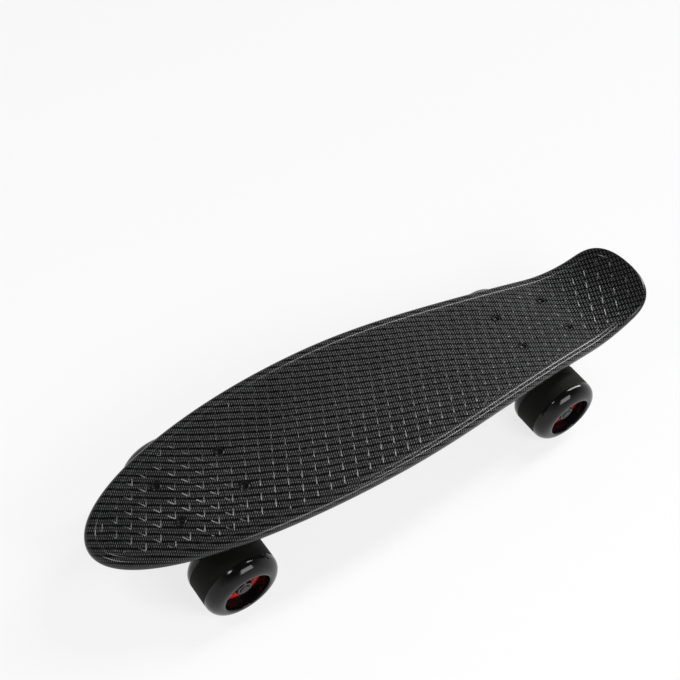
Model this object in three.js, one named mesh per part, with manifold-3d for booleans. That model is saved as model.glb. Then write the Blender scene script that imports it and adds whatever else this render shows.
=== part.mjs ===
// Cruiser skateboard: a moulded plastic deck on two sprung trucks and four cast wheels.
// Millimetres. +X points to the nose and +Z up. The wheels stand on z = 0, under the deck's middle.

import * as THREE from "three";
import { mergeVertices } from "three/addons/utils/BufferGeometryUtils.js";
import Module from "manifold-3d";

const wasm = await Module();
wasm.setup();

// Deck outline, as half widths either side of the centre line
const DECK_LENGTH = 560;
const DECK_WIDTH = 142;
const WIDEST_AHEAD = 45;
const NOSE_BLUNTNESS = 42;
const NOSE_TAPER = 135;
const WAIST_RUN = 78;
const TAIL_SHOULDER_BEHIND = 251;
const TAIL_SHOULDER_WIDTH = 85;
const TAIL_TAPER_RUN = 163;
const TAIL_TAPER_RISE = 16;
const TAIL_CORNER_RUN = 10;
const TAIL_CORNER_DROP = 1;
const TAIL_BLUNTNESS = 40;

// Deck side view
const DECK_THICKNESS = 10;
const ARCH_RADIUS = 1765;
const KICK_START_BEHIND = 196;
const KICK_RADIUS = 102;
const KICK_ANGLE = THREE.MathUtils.degToRad(36);
const TOP_EDGE_ROUND = 4;
const LOWER_EDGE_ROUND = 4.5;
const NOSE_FAN_INSET = 62;
const TAIL_FAN_INSET = 40;

// Deck underside
const RIM_BAND = 12;
const PAN_DEPTH = 1.5;
const PAN_SLOPE = 4;
const PAN_LENGTH = 218;
const PAN_END_WIDTH = 48;
const PAN_FRONT_CORNER = 13;
const PAN_REAR_CORNER = 6;
const PAN_REAR_BOW = 3;
const SPEAR_DEPTH = 5;
const SPEAR_WIDTH = 15;
const SPEAR_TIP_WIDTH = 1;
const SPEAR_TIP_SPREAD = 24;
const SPEAR_WAIST_SPREAD = 20.5;
const SPEAR_FLOOR_SHARE = 0.6;
const CRESCENT_TIP_AHEAD = 234;
const CRESCENT_HALF_SPAN = 28;
const CRESCENT_INNER_BULGE = 9;
const CRESCENT_OUTER_BULGE = 29;
const CRESCENT_DEPTH = 1.6;
const CRESCENT_TIP_WIDTH = 1;
const CRESCENT_FLOOR_SHARE = 0.8;
const SIDE_SLOT_WIDTH = 6;
const TAIL_SLOT_WIDTH = 8;
const SLOT_DEPTH = 2.2;
const SLOT_FLOOR_SHARE = 0.7;
const TAIL_LEG_START = [-218, 25];
const TAIL_LEG_END = [-257, 21];
const SIDE_SLOT_START = [-123, 43.8];
const SIDE_SLOT_END = [-174, 37];

// Truck pads moulded under the deck, and the bolts through them
const PAD_SPACING = 346;
const TRUCKS_AHEAD = 9.2;
const PAD_RAISE = 1.2;
const PAD_HALF_LENGTH = 46;
const FRONT_PAD_INNER_HALF_WIDTH = 50;
const FRONT_PAD_OUTER_HALF_WIDTH = 34;
const REAR_PAD_INNER_HALF_WIDTH = 38;
const REAR_PAD_OUTER_HALF_WIDTH = 28;
const BOLT_SPACING_LONG = 57;
const BOLT_SPACING_WIDE = 37;
const BOLT_DIAMETER = 5;
const BOLT_HEAD_DIAMETER = 9.4;
const BOLT_HEAD_DEPTH = 2.8;
const BOLT_HEAD_SINK = 0.8;
const BOLT_END_STICKOUT = 1;
const BOLT_NUT_FLATS = 8;
const BOLT_NUT_HEIGHT = 4;

// Wheels
const WHEEL_DIAMETER = 66;
const WHEEL_WIDTH = 45;
const WHEEL_FACETS = 24;
const LIP_RADIUS = 11;
const MOUTH_ROUND = 1.5;
const RECESS_DEPTH = 12.5;
const CORE_DIAMETER = 38.6;
const CORE_CHAMFER = 1;
const CORE_FLANGE_BORE = 17.6;

// Bearings and axles
const BEARING_DIAMETER = 22;
const BEARING_BORE = 8;
const BEARING_WIDTH = 7;
const BEARING_GAP = 8;
const AXLE_DIAMETER = 8;
const AXLE_SPACER_DIAMETER = 11.4;
const AXLE_STICKOUT = 0.6;
const WASHER_STEP = 0.8;
const AXLE_NUT_FLATS = 13;
const AXLE_NUT_HEIGHT = 5.6;

// Trucks, measured square to the pad they are bolted to
const TRUCK_HEIGHT = 44;
const AXLE_OUTBOARD = 4.4;
const TRACK = 103.6;

// Baseplate
const PLATE_INNER_REACH = 36;
const PLATE_OUTER_REACH = 35;
const PLATE_WIDTH = 53;
const PLATE_THICKNESS = 5;
const PLATE_CORNER_RADIUS = 8;
const SEAT_BOSS_DIAMETER = 26;
const PIVOT_BOSS_DIAMETER = 20;
const PIVOT_BOSS_LENGTH = 13;
const RIB_THICKNESS = 4;
const RIB_DROP = 3;

// Kingpin stack, along the kingpin from its seat on the baseplate
const KINGPIN_LEAN = THREE.MathUtils.degToRad(10);
const SEAT_INBOARD = 19.5;
const SEAT_DROP = 18.5;
const KINGPIN_DIAMETER = 8;
const KINGPIN_HEAD_DIAMETER = 13;
const KINGPIN_HEAD_HEIGHT = 4;
const SEAT_WALL = 3.2;
const KINGPIN_STICKOUT = 1;
const BUSHING_DIAMETER = 20.4;
const BOARDSIDE_BUSHING_HEIGHT = 11;
const ROADSIDE_BUSHING_HEIGHT = 8.5;
const ROADSIDE_BUSHING_TIP_DIAMETER = 18;
const BUSHING_ROUND = 1.6;
const CUP_WASHER_DIAMETER = 20.4;
const CUP_WASHER_THICKNESS = 1.5;
const KINGPIN_NUT_FLATS = 13;
const KINGPIN_NUT_HEIGHT = 6.5;
const NUT_COLLAR_DIAMETER = 11;
const NUT_COLLAR_HEIGHT = 2;

// Hanger
const RING_DIAMETER = 27;
const RING_THICKNESS = 7;
const RING_BORE = 12;
const RING_CUP_DEPTH = 0.8;
const BEAM_HALF_LENGTH = 34.5;
const BEAM_WIDTH = 12.5;
const BEAM_HEIGHT = 15;
const BEAM_CHAMFER = 1.2;
const BEAM_RISE = 1.2;
const COLLAR_DIAMETER = 12;
const YOKE_WIDTH = 17;
const STEM_ROOT_DIAMETER = 11.5;
const PIVOT_DIAMETER = 9;
const PIVOT_OUTBOARD = 22;
const PIVOT_DROP = 10.5;
const PIVOT_CUP_WALL = 2.2;

// Clearances
const SEAT_GAP = 0.3;
const BORE_GAP = 0.3;
const OVERRUN = 2;

// Facets on round pieces
const FINE_FACETS = 16;
const SMALL_FACETS = 12;
const BOLT_FACETS = 8;

// Materials
const paint = {
  deck: [0x17181a, 0.35, 0],
  tyre: [0x1c1c1b, 0.5, 0],
  core: [0xa81414, 0.4, 0],
  satinBlack: [0x1a1a1b, 0.45, 0.6],
  zinc: [0xc9ccd0, 0.25, 1],
  steel: [0x9a9da1, 0.3, 1],
  blackSteel: [0x202022, 0.4, 0.8],
  urethane: [0xd98a1e, 0.4, 0],
  cup: [0x101010, 0.6, 0],
};

// Merges shared corners, drops faces with no area and turns the shell outwards.
function closedShell(geometry) {
  const bare = geometry.clone();
  bare.deleteAttribute("normal");
  bare.deleteAttribute("uv");
  const merged = mergeVertices(bare);
  const place = merged.attributes.position;
  const corner = (i) => new THREE.Vector3().fromBufferAttribute(place, i);
  const kept = [];
  let volume = 0;
  for (let i = 0; i < merged.index.count; i += 3) {
    const [a, b, c] = [0, 1, 2].map((k) => merged.index.getX(i + k));
    if (a === b || b === c || c === a) {
      continue;
    }
    kept.push([a, b, c]);
    volume += corner(a).dot(corner(b).cross(corner(c)));
  }
  const faces = volume < 0 ? kept.map(([a, b, c]) => [a, c, b]) : kept;
  merged.setIndex(faces.flat());
  return merged;
}

function solid(geometry) {
  const shell = closedShell(geometry);
  return new wasm.Manifold(new wasm.Mesh({
    numProp: 3,
    vertProperties: Float32Array.from(shell.attributes.position.array),
    triVerts: Uint32Array.from(shell.index.array),
  }));
}

function geometryOf(body) {
  const mesh = body.getMesh();
  const geometry = new THREE.BufferGeometry();
  geometry.setAttribute("position", new THREE.BufferAttribute(Float32Array.from(mesh.vertProperties), 3));
  geometry.setIndex(Array.from(mesh.triVerts));
  return geometry;
}

function joined(...geometries) {
  return geometryOf(geometries.map(solid).reduce((whole, next) => whole.add(next)));
}

function cut(geometry, ...cutters) {
  return geometryOf(cutters.map(solid).reduce((whole, next) => whole.subtract(next), solid(geometry)));
}

function shared(first, second) {
  return geometryOf(solid(first).intersect(solid(second)));
}

function piece(name, geometry, [color, roughness, metalness]) {
  const shell = closedShell(geometry);
  shell.computeVertexNormals();
  const material = new THREE.MeshStandardMaterial({ color, roughness, metalness, flatShading: true });
  const mesh = new THREE.Mesh(shell, material);
  mesh.name = name;
  return mesh;
}

// Joins rings of equally many points into a closed body with flat ends.
function loft(rings) {
  const count = rings[0].length;
  const points = rings.flat();
  const faces = [];
  for (let r = 0; r + 1 < rings.length; r++) {
    for (let i = 0; i < count; i++) {
      const a = r * count + i;
      const b = r * count + ((i + 1) % count);
      faces.push(a, b, b + count, a, b + count, a + count);
    }
  }
  const last = (rings.length - 1) * count;
  for (let i = 1; i + 1 < count; i++) {
    faces.push(0, i + 1, i, last, last + i, last + i + 1);
  }
  const geometry = new THREE.BufferGeometry().setFromPoints(points);
  geometry.setIndex(faces);
  return geometry;
}

// Turns a profile of [radius, height] points round the Z axis.
function turned(profile, facets) {
  const points = profile.map(([radius, height]) => new THREE.Vector2(radius, height));
  return new THREE.LatheGeometry(points, facets, Math.PI / facets).rotateX(Math.PI / 2);
}

function rod(radius, low, high, facets) {
  return turned([[0, low], [radius, low], [radius, high], [0, high]], facets);
}

function collar(inner, outer, low, high, facets) {
  return turned([[inner, low], [outer, low], [outer, high], [inner, high], [inner, low]], facets);
}

// A hexagon nut standing on z = low, with its corners chamfered at the top, and a plain bore.
function hexNut(acrossFlats, bore, low, height, facets) {
  const cornerRadius = acrossFlats / Math.sqrt(3);
  const chamfer = (cornerRadius - acrossFlats / 2) * 2;
  const outline = new THREE.Shape();
  for (let k = 0; k < 6; k++) {
    const angle = (k * Math.PI) / 3;
    const point = [cornerRadius * Math.cos(angle), cornerRadius * Math.sin(angle)];
    if (k === 0) {
      outline.moveTo(...point);
    } else {
      outline.lineTo(...point);
    }
  }
  outline.closePath();
  const prism = new THREE.ExtrudeGeometry(outline, { depth: height, bevelEnabled: false });
  prism.translate(0, 0, low);
  const crown = turned([
    [0, low - OVERRUN],
    [cornerRadius + OVERRUN, low - OVERRUN],
    [cornerRadius + OVERRUN, low + height - chamfer],
    [cornerRadius - chamfer / 2, low + height],
    [0, low + height],
  ], facets);
  return cut(shared(prism, crown), rod(bore / 2, low - OVERRUN, low + height + OVERRUN, facets));
}

// Deck shape
const halfLength = DECK_LENGTH / 2;
const archFall = (x) => (x - TRUCKS_AHEAD) ** 2 / (2 * ARCH_RADIUS);
const padAway = PAD_SPACING / 2;
const tilt = Math.atan(padAway / ARCH_RADIUS);
const axleHeight = (WHEEL_DIAMETER / 2) * Math.cos(Math.PI / WHEEL_FACETS);
const padHeight = axleHeight + AXLE_OUTBOARD * Math.sin(tilt) + TRUCK_HEIGHT * Math.cos(tilt);
const deckAtPad = DECK_THICKNESS + PAD_RAISE;
const crownHeight = padHeight + deckAtPad + padAway ** 2 / (2 * ARCH_RADIUS);

function kickRise(x) {
  const run = -KICK_START_BEHIND - x;
  if (run <= 0) {
    return 0;
  }
  const curvedRun = KICK_RADIUS * Math.sin(KICK_ANGLE);
  if (run < curvedRun) {
    return KICK_RADIUS - Math.sqrt(KICK_RADIUS ** 2 - run ** 2);
  }
  return KICK_RADIUS * (1 - Math.cos(KICK_ANGLE)) + (run - curvedRun) * Math.tan(KICK_ANGLE);
}

const deckTop = (x) => crownHeight - archFall(x) + kickRise(x);
const deckUnderside = (x) => deckTop(x) - DECK_THICKNESS;

// Half of the outline, from the nose's tip round to the tail's tip, as three curves.
function halfOutline() {
  const widest = DECK_WIDTH / 2;
  const shoulder = TAIL_SHOULDER_WIDTH / 2;
  const nose = new THREE.CubicBezierCurve(
    new THREE.Vector2(halfLength, 0),
    new THREE.Vector2(halfLength, NOSE_BLUNTNESS),
    new THREE.Vector2(WIDEST_AHEAD + NOSE_TAPER, widest),
    new THREE.Vector2(WIDEST_AHEAD, widest),
  );
  const side = new THREE.CubicBezierCurve(
    new THREE.Vector2(WIDEST_AHEAD, widest),
    new THREE.Vector2(WIDEST_AHEAD - WAIST_RUN, widest),
    new THREE.Vector2(-TAIL_SHOULDER_BEHIND + TAIL_TAPER_RUN, shoulder + TAIL_TAPER_RISE),
    new THREE.Vector2(-TAIL_SHOULDER_BEHIND, shoulder),
  );
  const tail = new THREE.CubicBezierCurve(
    new THREE.Vector2(-TAIL_SHOULDER_BEHIND, shoulder),
    new THREE.Vector2(-TAIL_SHOULDER_BEHIND - TAIL_CORNER_RUN, shoulder - TAIL_CORNER_DROP),
    new THREE.Vector2(-halfLength, TAIL_BLUNTNESS),
    new THREE.Vector2(-halfLength, 0),
  );
  return [...nose.getPoints(14), ...side.getPoints(13).slice(1), ...tail.getPoints(9).slice(1)];
}

const outlineHalf = halfOutline();

function deckHalfWidth(x) {
  const i = outlineHalf.findIndex((point) => point.x <= x);
  const [ahead, behind] = [outlineHalf[i - 1], outlineHalf[i]];
  return THREE.MathUtils.mapLinear(x, ahead.x, behind.x, ahead.y, behind.y);
}

// The rim's section, as [inset, drop] pairs from the top face round to the underside.
function rimSection() {
  const section = [];
  for (const turn of [0, 1, 2, 3]) {
    const angle = (turn * Math.PI) / 6;
    section.push([TOP_EDGE_ROUND * (1 - Math.sin(angle)), TOP_EDGE_ROUND * (1 - Math.cos(angle))]);
  }
  for (const turn of [0, 1, 2, 3]) {
    const angle = (turn * Math.PI) / 6;
    const drop = DECK_THICKNESS - LOWER_EDGE_ROUND * (1 - Math.sin(angle));
    section.push([LOWER_EDGE_ROUND * (1 - Math.cos(angle)), drop]);
  }
  return section;
}

function deckBlank() {
  const mirrored = outlineHalf.slice(1, -1).reverse().map((point) => new THREE.Vector2(point.x, -point.y));
  const outline = [...outlineHalf, ...mirrored];
  const inwards = outline.map((point, i) => {
    const next = outline[(i + 1) % outline.length];
    const last = outline[(i + outline.length - 1) % outline.length];
    const along = next.clone().sub(last).normalize();
    return new THREE.Vector2(-along.y, along.x);
  });
  const edgeRing = ([inset, drop]) => outline.map((point, i) => {
    const edge = point.clone().addScaledVector(inwards[i], inset);
    return new THREE.Vector3(edge.x, edge.y, deckTop(edge.x) - drop);
  });
  const middleRing = ([inset, drop]) => edgeRing([inset, drop]).map(({ x }) => {
    const middle = THREE.MathUtils.clamp(x, -halfLength + TAIL_FAN_INSET, halfLength - NOSE_FAN_INSET);
    return new THREE.Vector3(middle, 0, deckTop(middle) - drop);
  });
  const section = rimSection();
  return loft([middleRing(section.at(0)), ...section.map(edgeRing), middleRing(section.at(-1))]);
}

// A recess in the underside between two edges. Each station gives the edges' [x, y] at the mouth and at the floor.
function underRecess(stations, depth) {
  const overshoot = OVERRUN / depth;
  const corner = ([x, y], height) => new THREE.Vector3(x, y, deckUnderside(x) + height);
  const spread = (mouth, floor) => mouth.map((value, k) => value + (value - floor[k]) * overshoot);
  const section = ({ mouth, floor }) => {
    const [left, right] = mouth.map((point, k) => spread(point, floor[k]));
    return [
      corner(left, 0).setZ(deckUnderside(mouth[0][0]) - OVERRUN),
      corner(right, 0).setZ(deckUnderside(mouth[1][0]) - OVERRUN),
      corner(floor[1], depth),
      corner(floor[0], depth),
    ];
  };
  return loft(stations.map(section));
}

const mixed = (from, to, share) => from + (to - from) * share;

function panRecess() {
  const front = TRUCKS_AHEAD + PAN_LENGTH / 2;
  const rear = TRUCKS_AHEAD - PAN_LENGTH / 2;
  const places = [
    [front, PAN_END_WIDTH / 2],
    [front - PAN_FRONT_CORNER, deckHalfWidth(front - PAN_FRONT_CORNER) - RIM_BAND],
  ];
  const steps = 12;
  for (let k = 1; k < steps; k++) {
    const x = mixed(front - PAN_FRONT_CORNER, rear + PAN_REAR_CORNER, k / steps);
    places.push([x, deckHalfWidth(x) - RIM_BAND]);
  }
  places.push([rear + PAN_REAR_CORNER, deckHalfWidth(rear + PAN_REAR_CORNER) - RIM_BAND - PAN_SLOPE]);
  places.push([rear, PAN_END_WIDTH / 2]);
  places.push([rear - PAN_REAR_BOW, PAN_END_WIDTH / 4]);
  const stations = places.map(([x, half]) => {
    const floorX = THREE.MathUtils.clamp(x, rear - PAN_REAR_BOW + PAN_SLOPE, front - PAN_SLOPE);
    return {
      mouth: [[x, -half], [x, half]],
      floor: [[floorX, PAN_SLOPE - half], [floorX, half - PAN_SLOPE]],
    };
  });
  return underRecess(stations, PAN_DEPTH);
}

// One of the two long spear-shaped grooves, which bow away from the centre panel's ends.
function spearGroove(side) {
  const steps = 12;
  const stations = [];
  for (let k = 0; k <= steps; k++) {
    const along = (2 * k) / steps - 1;
    const swell = 1 - along ** 2;
    const x = TRUCKS_AHEAD - (along * PAN_LENGTH) / 2;
    const centre = mixed(SPEAR_TIP_SPREAD, SPEAR_WAIST_SPREAD, swell);
    const half = mixed(SPEAR_TIP_WIDTH, SPEAR_WIDTH, swell) / 2;
    stations.push({
      mouth: [-half, half].map((y) => [x, side * (centre + y)]),
      floor: [-half, half].map((y) => [x, side * (centre + y * SPEAR_FLOOR_SHARE)]),
    });
  }
  return underRecess(stations, SPEAR_DEPTH);
}

function crescentRecess() {
  const steps = 10;
  const stations = [];
  for (let k = 0; k <= steps; k++) {
    const angle = (k / steps) * Math.PI;
    const y = -CRESCENT_HALF_SPAN * Math.cos(angle);
    const inner = CRESCENT_TIP_AHEAD + CRESCENT_INNER_BULGE * Math.sin(angle) ** 2;
    const reach = CRESCENT_OUTER_BULGE * Math.sin(angle);
    const outer = Math.max(CRESCENT_TIP_AHEAD + reach, inner + CRESCENT_TIP_WIDTH);
    const middle = (inner + outer) / 2;
    stations.push({
      mouth: [[inner, y], [outer, y]],
      floor: [inner, outer].map((x) => [mixed(middle, x, CRESCENT_FLOOR_SHARE), y]),
    });
  }
  return underRecess(stations, CRESCENT_DEPTH);
}

// A straight slot of even width between two [x, y] places.
function slotRecess([fromX, fromY], [toX, toY], width, steps) {
  const along = new THREE.Vector2(toX - fromX, toY - fromY).normalize();
  const across = new THREE.Vector2(-along.y, along.x).multiplyScalar(width / 2);
  const stations = [];
  for (let k = 0; k <= steps; k++) {
    const x = mixed(fromX, toX, k / steps);
    const y = mixed(fromY, toY, k / steps);
    stations.push({
      mouth: [-1, 1].map((side) => [x + side * across.x, y + side * across.y]),
      floor: [-SLOT_FLOOR_SHARE, SLOT_FLOOR_SHARE].map((side) => [x + side * across.x, y + side * across.y]),
    });
  }
  return underRecess(stations, SLOT_DEPTH);
}

// The channel round three sides of the tail's middle, whose two legs and cross meet, and the two side slots.
function tailRecesses() {
  const [legEnd, legSide] = TAIL_LEG_END;
  const legs = [1, -1].map((side) => slotRecess(
    [TAIL_LEG_START[0], side * TAIL_LEG_START[1]],
    [legEnd, side * legSide],
    TAIL_SLOT_WIDTH,
    5,
  ));
  const sides = [1, -1].map((side) => slotRecess(
    [SIDE_SLOT_START[0], side * SIDE_SLOT_START[1]],
    [SIDE_SLOT_END[0], side * SIDE_SLOT_END[1]],
    SIDE_SLOT_WIDTH,
    2,
  ));
  const crossReach = legSide + TAIL_SLOT_WIDTH / 2;
  const crossPlace = legEnd + TAIL_SLOT_WIDTH / 2;
  const cross = slotRecess([crossPlace, crossReach], [crossPlace, -crossReach], TAIL_SLOT_WIDTH, 2);
  return [...legs, ...sides, cross];
}

// A flat pad for a truck, in the truck's own frame, whose lower face is z = 0.
function truckPad(innerHalf, outerHalf) {
  const outline = new THREE.Shape([
    new THREE.Vector2(-PAD_HALF_LENGTH, -innerHalf),
    new THREE.Vector2(PAD_HALF_LENGTH, -outerHalf),
    new THREE.Vector2(PAD_HALF_LENGTH, outerHalf),
    new THREE.Vector2(-PAD_HALF_LENGTH, innerHalf),
  ]);
  return new THREE.ExtrudeGeometry(outline, { depth: deckAtPad / 2, bevelEnabled: false });
}

const boltPlaces = [-1, 1].flatMap((end) => (
  [1, -1].map((side) => [(end * BOLT_SPACING_LONG) / 2, (side * BOLT_SPACING_WIDE) / 2])
));
const boltHeadTop = deckAtPad - BOLT_HEAD_SINK;
const boltHoleDiameter = BOLT_DIAMETER + 2 * BORE_GAP;

// The hole that a countersunk bolt passes through, cut from above the deck.
function boltHole() {
  const headRadius = BOLT_HEAD_DIAMETER / 2 + BORE_GAP;
  return turned([
    [0, -OVERRUN],
    [boltHoleDiameter / 2, -OVERRUN],
    [boltHoleDiameter / 2, boltHeadTop - BOLT_HEAD_DEPTH],
    [headRadius, boltHeadTop],
    [headRadius, deckAtPad + OVERRUN],
    [0, deckAtPad + OVERRUN],
  ], BOLT_FACETS);
}

function deckBody(truckFrames) {
  const pads = [
    truckPad(FRONT_PAD_INNER_HALF_WIDTH, FRONT_PAD_OUTER_HALF_WIDTH),
    truckPad(REAR_PAD_INNER_HALF_WIDTH, REAR_PAD_OUTER_HALF_WIDTH),
  ].map((pad, i) => pad.applyMatrix4(truckFrames[i]));
  const holes = truckFrames.flatMap((frame) => (
    boltPlaces.map(([x, y]) => boltHole().translate(x, y, 0).applyMatrix4(frame))
  ));
  const recesses = [panRecess(), spearGroove(1), spearGroove(-1), crescentRecess(), ...tailRecesses()];
  return cut(joined(cut(deckBlank(), ...recesses), ...pads), ...holes);
}

// Truck bolts, in the truck's frame
function boltBody() {
  const shank = BOLT_DIAMETER / 2;
  const head = BOLT_HEAD_DIAMETER / 2;
  const nutFoot = -2 * SEAT_GAP - PLATE_THICKNESS - BOLT_NUT_HEIGHT;
  return turned([
    [0, nutFoot - BOLT_END_STICKOUT],
    [shank, nutFoot - BOLT_END_STICKOUT],
    [shank, boltHeadTop - BOLT_HEAD_DEPTH],
    [head, boltHeadTop],
    [0, boltHeadTop],
  ], BOLT_FACETS);
}

function boltNut() {
  const top = -2 * SEAT_GAP - PLATE_THICKNESS;
  const nut = hexNut(BOLT_NUT_FLATS, boltHoleDiameter, 0, BOLT_NUT_HEIGHT, BOLT_FACETS);
  return nut.rotateX(Math.PI).translate(0, 0, top);
}

// Distances along the kingpin, from the seat towards the road
const boardWasher = SEAT_GAP;
const boardBushing = boardWasher + CUP_WASHER_THICKNESS + SEAT_GAP;
const ringStart = boardBushing + BOARDSIDE_BUSHING_HEIGHT + SEAT_GAP - RING_CUP_DEPTH;
const ringEnd = ringStart + RING_THICKNESS;
const roadBushing = ringEnd + SEAT_GAP - RING_CUP_DEPTH;
const roadWasher = roadBushing + ROADSIDE_BUSHING_HEIGHT + SEAT_GAP;
const kingpinNutStart = roadWasher + CUP_WASHER_THICKNESS + SEAT_GAP;
const kingpinNutEnd = kingpinNutStart + KINGPIN_NUT_HEIGHT;
const kingpinEnd = kingpinNutEnd + NUT_COLLAR_HEIGHT + KINGPIN_STICKOUT;
const kingpinBore = KINGPIN_DIAMETER + 2 * BORE_GAP;

// Moves a piece drawn along +Z onto the kingpin, with +Z pointing down the pin.
function alongKingpin(geometry) {
  return geometry.rotateY(Math.PI - KINGPIN_LEAN).translate(-SEAT_INBOARD, 0, -SEAT_DROP);
}

function kingpinPoint(distance) {
  const down = new THREE.Vector3(Math.sin(KINGPIN_LEAN), 0, -Math.cos(KINGPIN_LEAN));
  return new THREE.Vector3(-SEAT_INBOARD, 0, -SEAT_DROP).addScaledVector(down, distance);
}

// The steering axis runs from the ring's centre up to the pivot.
const ringCentre = kingpinPoint((ringStart + ringEnd) / 2);
const pivotCentre = new THREE.Vector3(PIVOT_OUTBOARD, 0, -PIVOT_DROP);
const steeringRun = pivotCentre.distanceTo(ringCentre);
const steeringSlope = Math.atan2(pivotCentre.z - ringCentre.z, pivotCentre.x - ringCentre.x);

// Moves a piece drawn along +Z onto the steering axis, measured from the ring's centre.
function alongSteering(geometry) {
  return geometry.rotateY(Math.PI / 2 - steeringSlope).translate(ringCentre.x, 0, ringCentre.z);
}

function kingpinBody() {
  const head = KINGPIN_HEAD_DIAMETER / 2;
  const shank = KINGPIN_DIAMETER / 2;
  const headFoot = -SEAT_WALL - SEAT_GAP;
  return alongKingpin(turned([
    [0, headFoot - KINGPIN_HEAD_HEIGHT],
    [head, headFoot - KINGPIN_HEAD_HEIGHT],
    [head, headFoot],
    [shank, headFoot],
    [shank, kingpinEnd - OVERRUN / 2],
    [shank - OVERRUN / 2, kingpinEnd],
    [0, kingpinEnd],
  ], FINE_FACETS));
}

function cupWasher(start) {
  return alongKingpin(collar(
    kingpinBore / 2,
    CUP_WASHER_DIAMETER / 2,
    start,
    start + CUP_WASHER_THICKNESS,
    FINE_FACETS,
  ));
}

// A urethane bushing whose outer edges are rounded; the road side one narrows towards its washer.
function bushing(start, height, startDiameter, endDiameter) {
  const inner = kingpinBore / 2;
  return alongKingpin(turned([
    [inner, start],
    [startDiameter / 2 - BUSHING_ROUND, start],
    [startDiameter / 2, start + BUSHING_ROUND],
    [endDiameter / 2, start + height - BUSHING_ROUND],
    [endDiameter / 2 - BUSHING_ROUND, start + height],
    [inner, start + height],
    [inner, start],
  ], FINE_FACETS));
}

// The kingpin's lock nut, with the round collar that holds its locking ring.
function kingpinNut() {
  const hex = hexNut(KINGPIN_NUT_FLATS, kingpinBore, kingpinNutStart, KINGPIN_NUT_HEIGHT, SMALL_FACETS);
  const low = kingpinNutEnd - NUT_COLLAR_HEIGHT;
  const high = kingpinNutEnd + NUT_COLLAR_HEIGHT;
  return alongKingpin(joined(hex, collar(kingpinBore / 2, NUT_COLLAR_DIAMETER / 2, low, high, SMALL_FACETS)));
}

// Pivot cup and its socket, as distances along the steering axis
const pivotTip = steeringRun + PIVOT_DIAMETER / 2;
const cupInnerRadius = PIVOT_DIAMETER / 2 + BORE_GAP;
const cupOuterRadius = cupInnerRadius + PIVOT_CUP_WALL;
const cupFloor = pivotTip + SEAT_GAP;
const cupEnd = cupFloor + PIVOT_CUP_WALL / 2;
const socketEnd = cupEnd + SEAT_GAP;
const socketMouth = socketEnd - PIVOT_BOSS_LENGTH;

function pivotCup() {
  return alongSteering(turned([
    [0, cupFloor],
    [cupInnerRadius * 0.5, cupFloor],
    [cupInnerRadius, cupFloor - cupInnerRadius * 0.6],
    [cupInnerRadius, socketMouth],
    [cupOuterRadius, socketMouth],
    [cupOuterRadius, cupEnd],
    [0, cupEnd],
  ], SMALL_FACETS));
}

function baseplateBody() {
  const round = PLATE_CORNER_RADIUS;
  const halfWidth = PLATE_WIDTH / 2;
  const outline = new THREE.Shape();
  outline.moveTo(-PLATE_INNER_REACH + round, -halfWidth);
  outline.lineTo(PLATE_OUTER_REACH - round, -halfWidth);
  outline.absarc(PLATE_OUTER_REACH - round, -halfWidth + round, round, -Math.PI / 2, 0);
  outline.absarc(PLATE_OUTER_REACH - round, halfWidth - round, round, 0, Math.PI / 2);
  outline.absarc(-PLATE_INNER_REACH + round, halfWidth - round, round, Math.PI / 2, Math.PI);
  outline.absarc(-PLATE_INNER_REACH + round, -halfWidth + round, round, Math.PI, 1.5 * Math.PI);
  const plate = new THREE.ExtrudeGeometry(outline, { depth: PLATE_THICKNESS, bevelEnabled: false, curveSegments: 4 });
  plate.translate(0, 0, -SEAT_GAP - PLATE_THICKNESS);
  const top = -SEAT_GAP;
  const seatBoss = alongKingpin(rod(SEAT_BOSS_DIAMETER / 2, -SEAT_DROP, 0, FINE_FACETS));
  const pivotBoss = alongSteering(rod(PIVOT_BOSS_DIAMETER / 2, socketMouth, socketEnd, SMALL_FACETS));
  const ribs = [-1, 1].map((side) => {
    const reach = PIVOT_OUTBOARD + SEAT_INBOARD;
    const rib = new THREE.BoxGeometry(reach, RIB_THICKNESS, 2 * RIB_DROP);
    const across = (side * (PIVOT_BOSS_DIAMETER - RIB_THICKNESS)) / 2;
    return rib.translate(PIVOT_OUTBOARD - reach / 2, across, top - PLATE_THICKNESS);
  });
  const above = new THREE.BoxGeometry(2 * DECK_WIDTH, 2 * DECK_WIDTH, DECK_WIDTH);
  above.translate(0, 0, top + DECK_WIDTH / 2);
  const boltHoles = boltPlaces.map(([x, y]) => (
    rod(boltHoleDiameter / 2, top - PLATE_THICKNESS - OVERRUN, top + OVERRUN, BOLT_FACETS).translate(x, y, 0)
  ));
  const headPocket = alongKingpin(rod(KINGPIN_HEAD_DIAMETER / 2 + BORE_GAP, -SEAT_DROP - SEAT_INBOARD, -SEAT_WALL, FINE_FACETS));
  const pinHole = alongKingpin(rod(kingpinBore / 2, -SEAT_DROP, OVERRUN, FINE_FACETS));
  const socket = alongSteering(rod(cupOuterRadius + BORE_GAP, socketMouth - OVERRUN, socketEnd - SEAT_GAP / 2, SMALL_FACETS));
  return cut(joined(plate, seatBoss, pivotBoss, ...ribs), above, ...boltHoles, headPocket, pinHole, socket);
}

// Wheel places along the axle, from the truck's middle
const wheelMiddle = TRACK / 2;
const bearingInner = BEARING_GAP / 2;
const bearingOuter = bearingInner + BEARING_WIDTH;
const hangerEnd = wheelMiddle - bearingOuter - SEAT_GAP;
const nutStart = wheelMiddle + bearingOuter + SEAT_GAP;
const axleReach = nutStart + WASHER_STEP + AXLE_NUT_HEIGHT + AXLE_STICKOUT;
const axleBore = AXLE_DIAMETER + 2 * BORE_GAP;

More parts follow.
